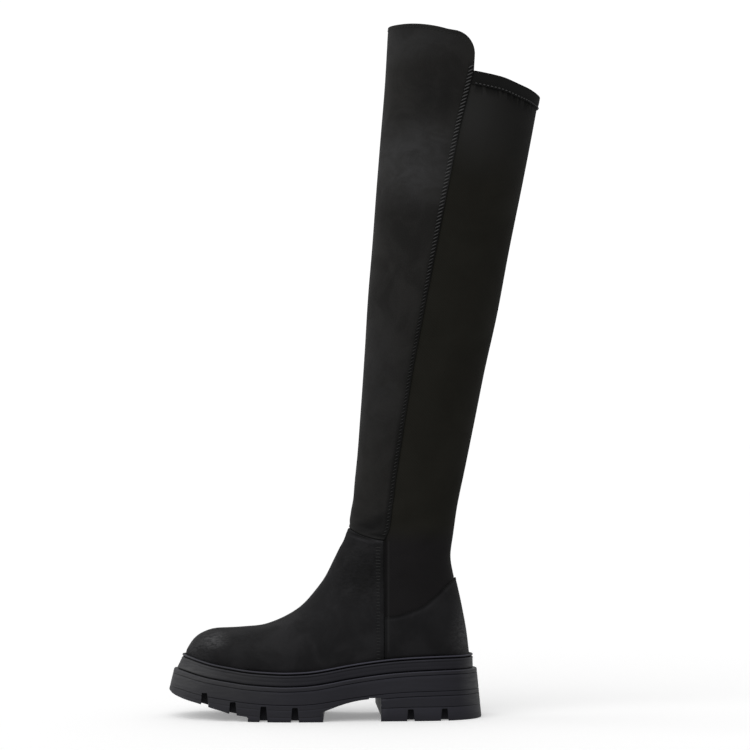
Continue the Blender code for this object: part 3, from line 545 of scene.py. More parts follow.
FRONT_CREASES = (
    (0, -43, 160, 7, 1.2, -8, -1.6),
    (0, -41, 157.8, 5, 1.0, -4, 1.1),
    (0, -48, 163.2, 7, 1.6, 14, 1.0),
    (0, -51, 167, 8, 2.6, -26, -1.2),
    (0, -63, 165.5, 5, 1.4, 0, 0.9),
    (0, -60, 171.5, 10, 2.4, -16, 0.8),
    (0, -43, 171, 7, 2.4, 48, -0.8),
    (0, -52, 176, 12, 3.2, 20, 0.7),
)
CREASE_SHARE = 0.5            # of a crease's rise that the leather's surface takes


def soft_forms(points, table):
    """How far a table's forms rise at points."""
    rise = np.zeros(points.shape[:-1])
    for side, x, z, along, across, angle, height in table:
        c, s = math.cos(math.radians(angle)), math.sin(math.radians(angle))
        dx, dz = points[..., 0] / MM - x, points[..., 2] / MM - z
        u, w = (c * dx + s * dz) / along, (c * dz - s * dx) / across
        one = height * MM * np.exp(-u * u - w * w)
        if side:
            one = one * np.clip(0.5 + side * points[..., 1] / (16 * MM), 0, 1)
        rise += one
    return rise


def painted_crease_shade(points, table):
    """Painted shade in the creases' troughs and a painted highlight on their ridges."""
    return np.clip(soft_forms(points, table) / (1.4 * MM), -0.9, 0.5)


def surface(places):
    """Points and outward normals at places (a, b). Past a foot line they drop by a mm a column."""
    a, b = places[..., 0], places[..., 1]
    inside = np.clip(b, 0, WIDE)
    points = read_field(POINTS, a, inside)
    normals = read_field(NORMALS, a, inside)
    normals /= np.maximum(np.linalg.norm(normals, axis=-1, keepdims=True), 1e-9)
    points = points + normals * soft_forms(points, WALL_FORMS)[..., None]
    points[..., 2] -= np.abs(b - inside) * MM
    return points, normals


def locate(outline, side):
    """Places on one side of the boot of side-view points (x, z)."""
    foot, line = ROWS[:, 0:2], ROWS[:, 2:4] - ROWS[:, 0:2]
    size = np.maximum(np.sum(line * line, axis=1), 1e-12)
    found = []
    for point in outline:
        rel = np.asarray(point, float) - foot
        turn = line[:, 0] * rel[:, 1] - line[:, 1] * rel[:, 0]
        height = np.sum(rel * line, axis=1) / size
        change = (turn[:-1] * turn[1:] <= 0) & (height[1:] > -0.15) & (height[1:] < 1.15)
        change = np.nonzero(change)[0]
        k = change[-1] if len(change) else len(ROWS) - 2
        t = turn[k] / (turn[k] - turn[k + 1]) if turn[k] != turn[k + 1] else 0
        h = (1 - t) * height[k] + t * height[k + 1]
        heights = (1 - t) * HEIGHTS[k] + t * HEIGHTS[k + 1]
        if side < 0:
            b = np.interp(h, heights[:HALF + 1], np.arange(HALF + 1))
        else:
            b = WIDE - np.interp(h, heights[HALF:][::-1], np.arange(HALF + 1))
        found.append((k + t, b))
    found = np.array(found)
    target = np.asarray(outline, float)
    free = np.abs(found[:, 1] - HALF) < HALF - 2
    step = 0.02
    for _ in range(4):
        a, b = found[free, 0], found[free, 1]
        a = np.clip(a, 0, len(ROWS) - 1 - 2 * step)
        at = read_field(POINTS, a, b)[:, [0, 2]]
        by_a = (read_field(POINTS, a + step, b)[:, [0, 2]] - at) / step
        by_b = (read_field(POINTS, a, b + step)[:, [0, 2]] - at) / step
        off = target[free] - at
        turn = by_a[:, 0] * by_b[:, 1] - by_a[:, 1] * by_b[:, 0]
        turn = np.where(np.abs(turn) < 1e-12, np.inf, turn)
        move = np.column_stack([
            off[:, 0] * by_b[:, 1] - off[:, 1] * by_b[:, 0],
            by_a[:, 0] * off[:, 1] - by_a[:, 1] * off[:, 0],
        ]) / turn[:, None]
        found[free] = np.column_stack([a, b]) + np.clip(move, -1.5, 1.5)
    found[:, 0] = np.clip(found[:, 0], 0, len(ROWS) - 1)
    return found


def resample(places, at):
    """The curve through places, read at shares of its length."""
    along = lengths_along(surface(places)[0])
    return np.column_stack([np.interp(at, along / along[-1], places[:, k]) for k in (0, 1)])



def spaced(length, step, first=True, last=True):
    """Shares of a length in equal steps, with finer ones at the ends named."""
    start = EDGE if first else EDGE[:1]
    end = EDGE if last else EDGE[:1]
    middle = length - start[-1] - end[-1]
    count = max(2, round(middle / step))
    inner = start[-1] + middle * np.arange(1, count) / count
    return np.concatenate([start, inner, (length - end)[::-1]]) / length


def with_fine_rows(shares, length):
    """The shares of a length with those near its start replaced by the finer rows."""
    fine, margin = FINE_ROWS / length, 0.5 * MM / length
    kept = shares[(shares < fine[0] - margin) | (shares > fine[-1] + margin)]
    return np.sort(np.concatenate([kept, fine]))


def length_of(places):
    return lengths_along(surface(places)[0])[-1]


def coons(bottom, top, left, right, u, w):
    """Places of a patch inside four boundary curves, sampled at shares u and w."""
    bottom, top = resample(bottom, u), resample(top, u)
    left, right = resample(left, w), resample(right, w)
    uu, ww = u[:, None, None], w[None, :, None]
    corners = (
        (1 - uu) * (1 - ww) * bottom[0] + uu * (1 - ww) * bottom[-1]
        + (1 - uu) * ww * top[0] + uu * ww * top[-1]
    )
    return (
        (1 - ww) * bottom[:, None] + ww * top[:, None]
        + (1 - uu) * left[None] + uu * right[None] - corners
    )


# Side view outlines, as in the part

def front_line(z):
    return np.interp(z, ROWS[:, 3], ROWS[:, 2])


def back_line(z):
    return np.interp(z, ROWS[FOOT_STEPS:, 1], ROWS[FOOT_STEPS:, 0])


def side_seam(heights, shift=0.0):
    """The seam between the front panel and the stretch panel at those heights."""
    depth = smooth(shaft_up(heights), SIDE_SEAM, 1)
    front, back = front_line(heights), back_line(heights)
    return np.column_stack([front + depth * (back - front) + shift, heights])


def notch_point():
    """Where the flap, the hem and the side seam meet."""
    return side_seam(np.array([shaft_z(1) - NOTCH_DROP]))[0]


def ankle_edge(lift=0.0):
    start = foot_x(ANKLE_FRONT)
    span = foot_x(FOOT_SEAM) - start
    along = np.linspace(0, 1, ANKLE_POINTS)
    return np.column_stack([start + along * span, shaft_z(smooth(along, ANKLE_SEAM, 1)) + lift])


def counter_edge():
    shares = np.linspace(FOOT_SEAM, COUNTER_EDGE[-1, 0], 60)
    heights = HEEL_STACK + smooth(shares, COUNTER_EDGE, 1) * INSTEP_RISE
    return np.column_stack([foot_x(shares), heights])


def hem_edge(lower=0.0):
    x, z = notch_point()
    depths = np.linspace(0, HEM_EDGE[-1, 0], HEM_POINTS)
    drops = smooth(depths, HEM_EDGE, 1) * HEM_DROP
    return np.column_stack([x + depths * (back_line(z) - x), z - drops - lower])


def flap_edge(lower=0.0):
    """The flap's edge from the shin over its corner to the notch, and the corner's middle point."""
    notch_x, notch_z = notch_point()
    top = shaft_z(1) - lower
    shin = float(front_line(shaft_z(1)))
    centre_x = notch_x + FLAP_REACH - lower - FLAP_RADIUS
    centre_z = top - FLAP_SLOPE - FLAP_RADIUS
    flat = shin + FLAP_RADIUS / 2
    points = [(shin, top), (flat, top)]
    for share in np.linspace(0, 1, 12)[1:-1]:
        points.append((flat + share * (centre_x - flat), top - FLAP_SLOPE * share ** 2))
    half = len(points)
    for step in range(CORNER_STEPS + 1):
        angle = math.pi / 2 * (1 - step / CORNER_STEPS)
        x, z = centre_x + FLAP_RADIUS * math.cos(angle), centre_z + FLAP_RADIUS * math.sin(angle)
        points.append((x, z))
    for share in np.linspace(0, 1, 8)[1:]:
        points.append((x + share * (notch_x - x), z + share * (notch_z - z)))
    return np.array(points), half + CORNER_STEPS // 2


def back_stop(places, side):
    """The part of a curve up to the back line, ending on it."""
    edge = 0 if side < 0 else WIDE
    reached = np.nonzero(np.abs(places[:, 1] - edge) <= 0.02)[0]
    kept = places[:reached[0]]
    a, b = kept[-1]
    before_a, before_b = kept[-2]
    step = (edge - b) / (b - before_b) if b != before_b else 0
    end = np.array([[a + np.clip(step, 0, 2) * (a - before_a), edge]])
    return np.vstack([kept, end])


# Meshes

def linked(name, data, collection=None):
    """A new object of that data, in the scene or in a collection."""
    made = bpy.data.objects.new(name, data)
    home = bpy.context.scene.collection if collection is None else collection
    home.objects.link(made)
    return made


def cleaned(mesh, weld=None):
    """Welds the mesh's doubles and turns its faces outwards."""
    bm = bmesh.new()
    bm.from_mesh(mesh)
    if weld is not None:
        bmesh.ops.remove_doubles(bm, verts=bm.verts, dist=weld)
    bmesh.ops.recalc_face_normals(bm, faces=bm.faces)
    bm.to_mesh(mesh)
    bm.free()


def shade_smooth(mesh, angle):
    """Shades the mesh smooth, with the edges above the angle, in degrees, left sharp."""
    mesh.polygons.foreach_set("use_smooth", [True] * len(mesh.polygons))
    mesh.set_sharp_from_angle(angle=math.radians(angle))


class Mesh:
    """Collects points and faces of one piece."""

    def __init__(self):
        self.points, self.faces, self.slots, self.tones = [], [], [], []
        self.count = 0

    def add(self, points, tone=0.0):
        """Adds an array of points. tone darkens the material below 0 and lightens it above; the
        pieces use it for painted shade and painted highlights.
        """
        points = np.asarray(points, float)
        self.tones.append(np.broadcast_to(tone, points.shape[:-1]).ravel())
        flat = points.reshape(-1, 3)
        index = np.arange(self.count, self.count + len(flat)).reshape(points.shape[:-1])
        self.points.append(flat)
        self.count += len(flat)
        return index

    def grid(self, index, slot=0, close=False):
        """Quads between neighbours of an index grid. close joins its last row to its first."""
        if close:
            index = np.vstack([index, index[:1]])
        quads = np.stack([index[:-1, :-1], index[1:, :-1], index[1:, 1:], index[:-1, 1:]], axis=-1)
        self.faces.append(quads.reshape(-1, 4))
        self.slots.append(np.full(quads.size // 4, slot))

    def build(self, name, materials, angle=50, weld=1e-6):
        """The finished piece, riding on the boot's one body."""
        mesh = bpy.data.meshes.new(name)
        faces = np.concatenate(self.faces)
        mesh.from_pydata(np.concatenate(self.points).tolist(), [], faces.tolist())
        mesh.polygons.foreach_set("material_index", np.concatenate(self.slots).astype(np.int32))
        tones = mesh.attributes.new("tone", "FLOAT", "POINT")
        tones.data.foreach_set("value", np.concatenate(self.tones))
        cleaned(mesh, weld)
        for material in materials:
            mesh.materials.append(material)
        shade_smooth(mesh, angle)
        made = linked(name, mesh)
        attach(made, "root")
        return made


def edge_fall(distance, radius):
    """How far a rounded edge of that radius has fallen at a distance from its end."""
    t = np.clip(1 - distance / radius, 0, 1)
    return radius * (1 - np.sqrt(1 - t * t))


def border(index):
    """The points of an index grid up its first side, along its last row and back down."""
    return np.concatenate([index[:, 0], index[-1, 1:], index[-2::-1, -1]])


def panel(name, places, low, high, material, free, relief, radius, other=None, tone=None):
    """A closed sheet of leather over the wall, with rounded free edges.

    places is one grid, and other a second one that meets it on the back line. free
    names the grid's ends that are edges: a0, a1 for its first axis, b0, b1 for its
    second.
    """
    points, normals = surface(places)
    if other is not None:
        more, more_normals = surface(other)
        points = np.concatenate([points, more[::-1][1:]])
        normals = np.concatenate([normals, more_normals[::-1][1:]])
    first, second = lengths_along(points), lengths_along(points.swapaxes(0, 1)).T
    distances = {
        "a0": first, "a1": first[-1:] - first, "b0": second, "b1": second[:, -1:] - second,
    }
    distance = np.full(points.shape[:2], 1.0)
    for end in free:
        distance = np.minimum(distance, distances[end])
    outer = high - edge_fall(distance, radius)
    outer = outer + relief(points, distances) * np.clip(distance / radius, 0, 1)
    shade = 0.0 if tone is None else tone(points, distances)
    made = Mesh()
    top = made.add(points + normals * outer[..., None], shade)
    under = made.add(points + normals * low, shade)
    made.grid(top)
    made.grid(under)
    rims = [np.concatenate([border(layer), layer[0, -2:0:-1]]) for layer in (top, under)]
    made.grid(np.column_stack(rims), close=True)
    return made.build(name, [material])


# Materials

# The raised strip behind the vertical seam, painted lighter as a highlight: middle, half width, low
# and high end, mm
SEAM_STRIP = (-34.7, 1.4, 58, 156)
# The dip between the vamp's edge and that strip, painted dark as shade
SEAM_SHADE = (-37.2, 1.8, 40, 160)


class Shader:
    """A material under construction."""

    def __init__(self, name):
        self.material = bpy.data.materials.new(name)
        self.material.use_nodes = True
        self.tree = self.material.node_tree
        self.surface = self.tree.nodes["Principled BSDF"]
        self.place = self.add("ShaderNodeTexCoord").outputs["Object"]

    def add(self, kind, **settings):
        node = self.tree.nodes.new(kind)
        for key, value in settings.items():
            setattr(node, key, value)
        return node

    def put(self, socket, value):
        if isinstance(value, bpy.types.NodeSocket):
            self.tree.links.new(value, socket)
        else:
            socket.default_value = value

    def math(self, operation, one, two=0.0, clamp=False):
        node = self.add("ShaderNodeMath", operation=operation, use_clamp=clamp)
        self.put(node.inputs[0], one)
        self.put(node.inputs[1], two)
        return node.outputs[0]

    def times(self, one, two, clamp=False):
        return self.math("MULTIPLY", one, two, clamp)

    def weighted(self, *terms):
        """The sum of values, each times its weight."""
        first, *others = [self.times(value, weight) for value, weight in terms]
        for other in others:
            first = self.math("ADD", first, other)
        return first

    def vector(self, operation, one, two=(0, 0, 0), output=0):
        node = self.add("ShaderNodeVectorMath", operation=operation)
        self.put(node.inputs[0], one)
        self.put(node.inputs[1], two)
        return node.outputs[output]

    def axis(self, name):
        """One coordinate of the place."""
        node = self.add("ShaderNodeSeparateXYZ")
        self.put(node.inputs[0], self.place)
        return node.outputs[name]

    def texture(self, kind, output, settings, stretch=None, **inputs):
        """A texture in the boot's own space, squeezed along its axes by stretch."""
        place = self.place if stretch is None else self.vector("MULTIPLY", self.place, stretch)
        node = self.add(kind, **settings)
        self.put(node.inputs["Vector"], place)
        for key, value in inputs.items():
            node.inputs[key].default_value = value
        return node.outputs[output]

    def noise(self, scale, detail, rough=0.5, stretch=None, warp=0.0):
        return self.texture(
            "ShaderNodeTexNoise", "Fac", {}, stretch,
            Scale=scale, Detail=detail, Roughness=rough, Distortion=warp,
        )

    def pores(self, scale):
        """Distance from the borders of small cells."""
        return self.texture(
            "ShaderNodeTexVoronoi", "Distance", {"feature": "DISTANCE_TO_EDGE"}, Scale=scale,
        )

    def wave(self, scale, direction, warp):
        return self.texture(
            "ShaderNodeTexWave", "Fac", {"bands_direction": direction},
            Scale=scale, Distortion=warp,
        )

    def span(self, value, low, high, to_low=0.0, to_high=1.0, kind="SMOOTHSTEP"):
        node = self.add("ShaderNodeMapRange", interpolation_type=kind)
        for key, item in (("Value", value), ("From Min", low), ("From Max", high),
                          ("To Min", to_low), ("To Max", to_high)):
            self.put(node.inputs[key], item)
        return node.outputs["Result"]

    def spot(self, centre, radii):
        """1 near a place, falling to 0 at the radii, in mm."""
        away = self.vector("SUBTRACT", self.place, tuple(v * MM for v in centre))
        away = self.vector("DIVIDE", away, tuple(r * MM for r in radii))
        return self.span(self.vector("LENGTH", away, output="Value"), 0.1, 1.0, 1.0, 0.0)

    def strip(self, middle, half, low, high):
        """1 along an upright strip at X middle, between two heights, all in mm."""
        away = self.math("ABSOLUTE", self.math("SUBTRACT", self.axis("X"), middle * MM))
        z = self.axis("Z")
        along = self.span(z, low * MM, (low + 3) * MM)
        along = self.times(along, self.span(z, (high - 2) * MM, high * MM, 1.0, 0.0))
        return self.times(self.span(away, 0.0, half * MM, 1.0, 0.0), along)

    def mix(self, share, one, two):
        node = self.add("ShaderNodeMix", data_type="RGBA")
        self.put(node.inputs["Factor"], share)
        for socket, value in ((node.inputs[6], one), (node.inputs[7], two)):
            self.put(socket, value if isinstance(value, bpy.types.NodeSocket) else (*value, 1))
        return node.outputs[2]

    def greys(self, share, dark, light, tint=(1, 1, 1)):
        """From a dark grey to a light one of the same tint."""
        return self.mix(share, grey(dark, tint), grey(light, tint))

    def tone(self):
        """The mesh's tone, which mostly carries painted shade and painted highlights."""
        return self.add("ShaderNodeAttribute", attribute_name="tone").outputs["Fac"]

    def toned(self, colour, bright=2.2, deep=0.25):
        """The colour darkened by painted shade and lightened by painted highlights, from the mesh's
        tone.
        """
        tone = self.tone()
        darker = self.vector("MULTIPLY", colour, (deep, deep, deep))
        lighter = self.vector("MULTIPLY", colour, (bright, bright, bright))
        colour = self.mix(self.span(tone, 0, -1, 0, 1, "LINEAR"), colour, darker)
        return self.mix(self.span(tone, 0, 1, 0, 1, "LINEAR"), colour, lighter)

    def worn_and_lit(self, colour, rough, places, broken, tint=(1.0, 1.0, 1.03)):
        """Colour and roughness with lighter and darker patches, which are wear and painted
        highlights and shade: (centre, radii, grey, amount, shine).
        """
        for centre, radii, level, amount, shine in places:
            share = self.times(self.times(self.spot(centre, radii), broken), amount, clamp=True)
            colour = self.mix(share, colour, grey(level, tint))
            if shine:
                rough = self.math("SUBTRACT", rough, self.times(share, shine))
        return colour, rough

    def seam_shade_and_highlight(self, colour, level):
        """The colour with painted shade in the dip and a painted highlight on the strip behind the
        upright seam, and a layer for bumps.
        """
        colour = self.mix(self.times(self.strip(*SEAM_SHADE), 0.8), colour, grey(0.005))
        strip = self.strip(*SEAM_STRIP)
        return self.mix(self.times(strip, 0.6), colour, grey(level)), (strip, 0.6, 0.0004)

    def bumps(self, *layers):
        """Layers of relief on one another, each a height, its strength and its distance."""
        normal = None
        for height, strength, distance in layers:
            node = self.add("ShaderNodeBump")
            node.inputs["Strength"].default_value = strength
            node.inputs["Distance"].default_value = distance
            self.put(node.inputs["Height"], height)
            if normal is not None:
                self.put(node.inputs["Normal"], normal)
            normal = node.outputs["Normal"]
        return normal

    def finish(self, colour, rough, normal=None, **fixed):
        self.put(self.surface.inputs["Base Color"], colour)
        self.put(self.surface.inputs["Roughness"], rough)
        if normal is not None:
            self.put(self.surface.inputs["Normal"], normal)
        for key, value in fixed.items():
            self.surface.inputs[key.replace("_", " ")].default_value = value
        return self.material


def grey(level, tint=(1, 1, 1)):
    return tuple(level * t for t in tint)


def brushed(name, dark, light, tint, wear_and_light_patches):
    """Brushed black leather: short nap, soft clouds, and patches painted lighter and darker as
    highlights and shade.
    """
    shader = Shader(name)
    clouds = shader.noise(28, 4, 0.6, warp=0.6)
    nap = shader.noise(900, 3, 0.7)
    fine = shader.noise(2600, 2, 0.6)
    streaks = shader.noise(48, 4, 0.6, stretch=(1, 1, 1.6), warp=0.8)
    mottled = shader.weighted((clouds, 0.7), (nap, 0.3))
    colour = shader.toned(shader.greys(shader.span(mottled, 0.36, 0.64), dark, light, tint))
    rough = shader.span(clouds, 0.3, 0.7, 0.82, 0.68)
    broken = shader.span(streaks, 0.3, 0.75, 0.45, 1.0)
    colour, rough = shader.worn_and_lit(colour, rough, wear_and_light_patches, broken)
    grain = shader.bumps((fine, 0.25, 0.0001), (nap, 0.3, 0.0003), (clouds, 0.25, 0.0012))
    return shader.finish(
        colour, rough, grain, Specular_IOR_Level=0.12, Sheen_Weight=0.02, Sheen_Roughness=0.45,
    )


def smooth_leather(name, dark, light, tint, wear_and_light_patches, behind=False):
    """Fine grained nubuck with hardly any gloss, with patches that are partly wear and partly
    painted highlight and shade. behind adds the painted shade and highlight behind the upright
    seam.
    """
    shader = Shader(name)
    clouds = shader.noise(35, 4, 0.6, warp=0.5)
    grain = shader.noise(700, 3, 0.6)
    streaks = shader.noise(210, 4, 0.65, stretch=(0.7, 1, 2.2), warp=1.5)
    colour = shader.toned(shader.greys(shader.span(clouds, 0.36, 0.66), dark, light, tint))
    rough = shader.span(clouds, 0.3, 0.7, 0.88, 0.76)
    broken = shader.span(streaks, 0.4, 0.62, 0.25, 1.0)
    colour, rough = shader.worn_and_lit(colour, rough, wear_and_light_patches, broken)
    layers = [(shader.span(shader.pores(1500), 0.0, 0.12), 0.35, 0.0001), (grain, 0.25, 0.0002)]
    if behind:
        colour, strip = shader.seam_shade_and_highlight(colour, 0.024)
        layers.append(strip)
    return shader.finish(
        colour, rough, shader.bumps(*layers),
        Specular_IOR_Level=0.14, Coat_Weight=0.02, Coat_Roughness=0.5, Sheen_Weight=0.01,
    )


def stretch_cloth(name, dark, light, tint, low_tint=None, painted_highlights=()):
    """Fine stretch knit with a slight rib, with puckers where the mesh's tone is set: bumped, and
    darkened as painted shade.

    low_tint colours it below the ankle, where the painted shade and highlight behind the upright
    seam are, and the last argument names paler places painted as highlights.
    """
    shader = Shader(name)
    clouds = shader.noise(22, 3, 0.55, warp=0.4)
    rib = shader.wave(260, "DIAGONAL", 0.6)
    weft = shader.wave(330, "Z", 0.4)
    fuzz = shader.noise(1500, 2, 0.6)
    share = shader.span(shader.weighted((clouds, 0.6), (fuzz, 0.25), (rib, 0.15)), 0.32, 0.66)
    colour = shader.greys(share, dark, light, tint)
    layers = [(shader.times(rib, weft), 0.35, 0.00025), (fuzz, 0.2, 0.0002)]
    if low_tint is not None:
        low = shader.span(shader.axis("Z"), 0.15, 0.172, 1.0, 0.0)
        colour = shader.mix(low, colour, shader.greys(share, dark, light, low_tint))
        colour, strip = shader.seam_shade_and_highlight(colour, 0.022)
        layers.append(strip)
    # Painted highlights.
    for centre, radii, level, amount in painted_highlights:
        colour = shader.mix(shader.times(shader.spot(centre, radii), amount), colour, grey(level))
    folds = shader.span(shader.noise(300, 1, 0.5, stretch=(1, 1, 0.18)), 0.42, 0.58)
    # Puckers under the hem: a bump, and painted shade in their folds.
    puckers_and_shade = shader.times(folds, shader.tone())
    colour = shader.mix(shader.times(puckers_and_shade, 0.75), colour, grey(0.002))
    layers.append((puckers_and_shade, 0.7, 0.0006))
    return shader.finish(
        colour, shader.span(clouds, 0.3, 0.7, 0.9, 0.8), shader.bumps(*layers),
        Specular_IOR_Level=0.1, Sheen_Weight=0.015, Sheen_Roughness=0.5,
    )


def rubber(name, dark, light, tint, scuffs_and_highlights):
    """Moulded black rubber, semi-matt, lighter at the toe, the forefoot and the heel: partly wear,
    partly painted highlight.
    """
    shader = Shader(name)
    clouds = shader.noise(18, 4, 0.6)
    streaks = shader.noise(60, 4, 0.7, stretch=(1, 1, 9))
    speck = shader.noise(1200, 2, 0.7)
    level = shader.weighted((clouds, 0.55), (streaks, 0.45))
    colour = shader.toned(shader.greys(shader.span(level, 0.34, 0.66), dark, light, tint), 4.0)
    rough = shader.span(level, 0.3, 0.7, 0.62, 0.48)
    # Streaks that break up the worn and lit patches.
    worn = shader.span(streaks, 0.3, 0.7, 0.5, 1)
    colour, rough = shader.worn_and_lit(colour, rough, scuffs_and_highlights, worn, (1, 1, 1.02))
    bumps = shader.bumps((speck, 0.18, 0.00015), (streaks, 0.15, 0.0004))
    return shader.finish(colour, rough, bumps, Specular_IOR_Level=0.25)


def thread(name, dark, light):
    """Twisted thread, darker from the calf down."""
    shader = Shader(name)
    twist = shader.wave(900, "DIAGONAL", 0.3)
    fibre = shader.noise(2200, 2, 0.6)
    above_calf = shader.span(shader.axis("Z"), 0.33, 0.49, 0.1, 1.0)
    colour = shader.mix(above_calf, grey(0.015), shader.greys(shader.span(fibre, 0.3, 0.7), dark, light))
    rough = shader.span(fibre, 0.3, 0.7, 0.6, 0.5)
    return shader.finish(colour, rough, shader.bumps((twist, 0.4, 0.0001)), Specular_IOR_Level=0.3)


def lining(name, dark, light, tint):
    """Plain woven lining."""
    shader = Shader(name)
    weave = shader.times(shader.wave(420, "X", 0.3), shader.wave(420, "Z", 0.3))
    clouds = shader.noise(30, 3, 0.6)
    colour = shader.greys(shader.span(clouds, 0.3, 0.7), dark, light, tint)
    rough = shader.span(weave, 0, 1, 0.95, 0.8)
    return shader.finish(colour, rough, shader.bumps((weave, 0.4, 0.0003)), Specular_IOR_Level=0.15)


# Vamp patches: painted shade at the instep; lighter at the toe and along the forefoot, partly wear
# and partly painted highlight.
VAMP = smooth_leather("vamp_leather", 0.012, 0.0175, (1.0, 0.98, 1.06), wear_and_light_patches=(
    ((-54, 0, 128), (50, 200, 46), 0.004, 0.85, 0.0),
    ((-206, -10, 62), (30, 60, 34), 0.046, 0.8, 0.05),
    ((-186, -26, 69), (17, 30, 11), 0.085, 1.0, 0.08),
    ((-150, -30, 64), (60, 40, 20), 0.022, 0.6, 0.0),
))
# Counter patch at the heel's back: partly wear, partly painted highlight.
COUNTER = smooth_leather("counter_leather", 0.0105, 0.0145, (1.0, 0.98, 1.06), wear_and_light_patches=(
    ((32, 0, 74), (25, 44, 36), 0.085, 1.0, 0.06),
), behind=True)
# Shaft patches: highlights painted paler at the knee, mid shin and top, and shade painted darker
# above the knee and by the ankle folds.
SUEDE = brushed("shaft_suede", 0.0128, 0.019, (1.04, 1, 0.94), wear_and_light_patches=(
    ((-10, 0, 486), (72, 200, 56), 0.052, 0.8, 0.03),
    ((4, 0, 544), (28, 200, 26), 0.006, 0.75, 0.0),
    ((-50, 0, 300), (44, 200, 90), 0.027, 0.6, 0.0),
    ((-20, 0, 590), (70, 200, 24), 0.036, 0.7, 0.0),
    ((-46, 0, 163), (44, 200, 34), 0.0095, 0.95, 0.0),
))
# The last table holds highlights painted paler on the stretch panel near the top.
STRETCH = stretch_cloth("stretch_fabric", 0.0118, 0.0155, (1.06, 1.01, 0.78), (0.86, 0.8, 0.84), (
    ((40, 0, 530), (56, 200, 78), 0.029, 0.8),
    ((90, 0, 540), (60, 200, 110), 0.015, 0.8),
))
# A highlight painted paler on the hem band near the back.
HEM = stretch_cloth("hem_fabric", 0.0075, 0.0135, (1.0, 1.0, 0.96), painted_highlights=(
    ((84, 0, 540), (36, 200, 60), 0.016, 0.8),
))
# Sole patches at the forefoot, toe and heel: partly wear, partly painted highlight.
RUBBER = rubber("rubber", 0.0155, 0.0195, (1.0, 0.98, 1.32), scuffs_and_highlights=(
    ((-170, -30, 36), (68, 60, 36), 0.036, 0.75, 0.0),
    ((-210, -10, 40), (42, 60, 36), 0.07, 0.85, 0.0),
    ((41, 0, 33), (22, 50, 46), 0.095, 0.85, 0.0),
))
THREAD = thread("thread", 0.04, 0.068)
DARK_THREAD = thread("dark_thread", 0.012, 0.02)
LINING = lining("lining", 0.013, 0.026, (1, 0.97, 0.94))


# Sole

SOLE_SHARES = (1 - np.cos(np.linspace(0, math.pi, SOLE_STEPS + 1))) / 2


def toe_share(share):
    """1 at the toe's tip, falling to 0 at a quarter of the foot."""
    t = np.clip(1 - np.asarray(share) / 0.25, 0, 1)
    return t * t * (3 - 2 * t)


def sole_loop(offset):
    """Points round the foot, offset outwards, outer side first, and their shares of the foot."""
    shares = SOLE_SHARES
    outer = np.column_stack([foot_x(shares), -half_width(shares, 1)])
    inner = np.column_stack([foot_x(shares), half_width(shares, 2)])[1:-1][::-1]
    points = np.vstack([outer, inner])
    loop_shares = np.concatenate([shares, shares[1:-1][::-1]])
    along = np.roll(points, -1, axis=0) - np.roll(points, 1, axis=0)
    along /= np.linalg.norm(along, axis=1)[:, None]
    normals = np.column_stack([-along[:, 1], along[:, 0]])
    outwards = normals if (normals[0, 0] < 0) else -normals
    reach = offset(loop_shares) if callable(offset) else np.full(len(points), offset)
    return points + outwards * reach[:, None], loop_shares


def ring(offset, height):
    plan, shares = sole_loop(offset)
    return np.column_stack([plan, height(shares)])


def band_reach(share, depth):
    flare = BAND_FLARE + toe_share(share) * (TOE_BAND_FLARE - BAND_FLARE)
    return OVERLAY + WELT_REACH + flare * depth


def outsole_reach(share, depth):
    toe = toe_share(share)
    flare = OUTSOLE_FLARE + toe * (TOE_OUTSOLE_FLARE - OUTSOLE_FLARE)
    return band_reach(share, BAND_HEIGHT) + LEDGE + toe * (TOE_LEDGE - LEDGE) + flare * depth


def ledge_height(share):
    return sole_top(share) - BAND_HEIGHT


def cap(made, loop):
    """Closes a sole loop with strips from side to side."""
    outer = loop[:SOLE_STEPS + 1]
    inner = np.concatenate([loop[:1], loop[:SOLE_STEPS - 1:-1]])
    made.grid(np.column_stack([outer, inner]))


def ring_solid(name, rings, material, angle, tones=0.0, hollow=False):
    """A solid of rings, capped at both ends, or a hollow one whose last ring meets its first."""
    made = Mesh()
    index = made.add(np.array(rings), np.reshape(tones, (-1, 1)))
    made.grid(np.hstack([index, index[:, :1]]), close=hollow)
    if not hollow:
        cap(made, index[0])
        cap(made, index[-1])
    return made.build(name, [material], angle)


def rings_above_sole(profile):
    """Rings from rows that start with an offset in metres and a height above the midsole in mm."""
    return [ring(offset, lambda s: sole_top(s) + up * MM) for offset, up, *_ in profile]


def build_welt():
    inner, outer = OVERLAY + 2 * GAP, OVERLAY + WELT_REACH
    profile = (
        # offset, height, tone: a painted highlight on the bead's top edge, painted shade in the gap
        # and undercut below it
        (inner, 0.3, -0.8), (inner, 1.9, -0.8), (inner + 0.15 * MM, 2.35, -0.3),
        (inner + 0.5 * MM, 2.55, 0), (inner + 0.9 * MM, 2.6, 0.2), (outer - 0.9 * MM, 2.6, 0.5),
        (outer - 0.45 * MM, 2.5, 0.7), (outer - 0.14 * MM, 2.2, 0.8), (outer, 1.8, 0.6),
        (outer - 0.05 * MM, 1.4, 0.1), (outer - 0.4 * MM, 1.05, -0.6),
        (outer - 1.0 * MM, 0.85, -0.9), (outer - 1.4 * MM, 0.3, -1),
    )
    tones = [tone for _, _, tone in profile]
    return ring_solid("rim_bead", rings_above_sole(profile), RUBBER, 60, tones, hollow=True)


def build_midsole():
    rings = [
        ring(lambda s: band_reach(s, depth * MM) + offset * MM, lambda s: sole_top(s) - depth * MM)
        for offset, depth, _ in BAND_PROFILE
    ]
    return ring_solid("platform_band", rings, RUBBER, 60, [tone for _, _, tone in BAND_PROFILE])


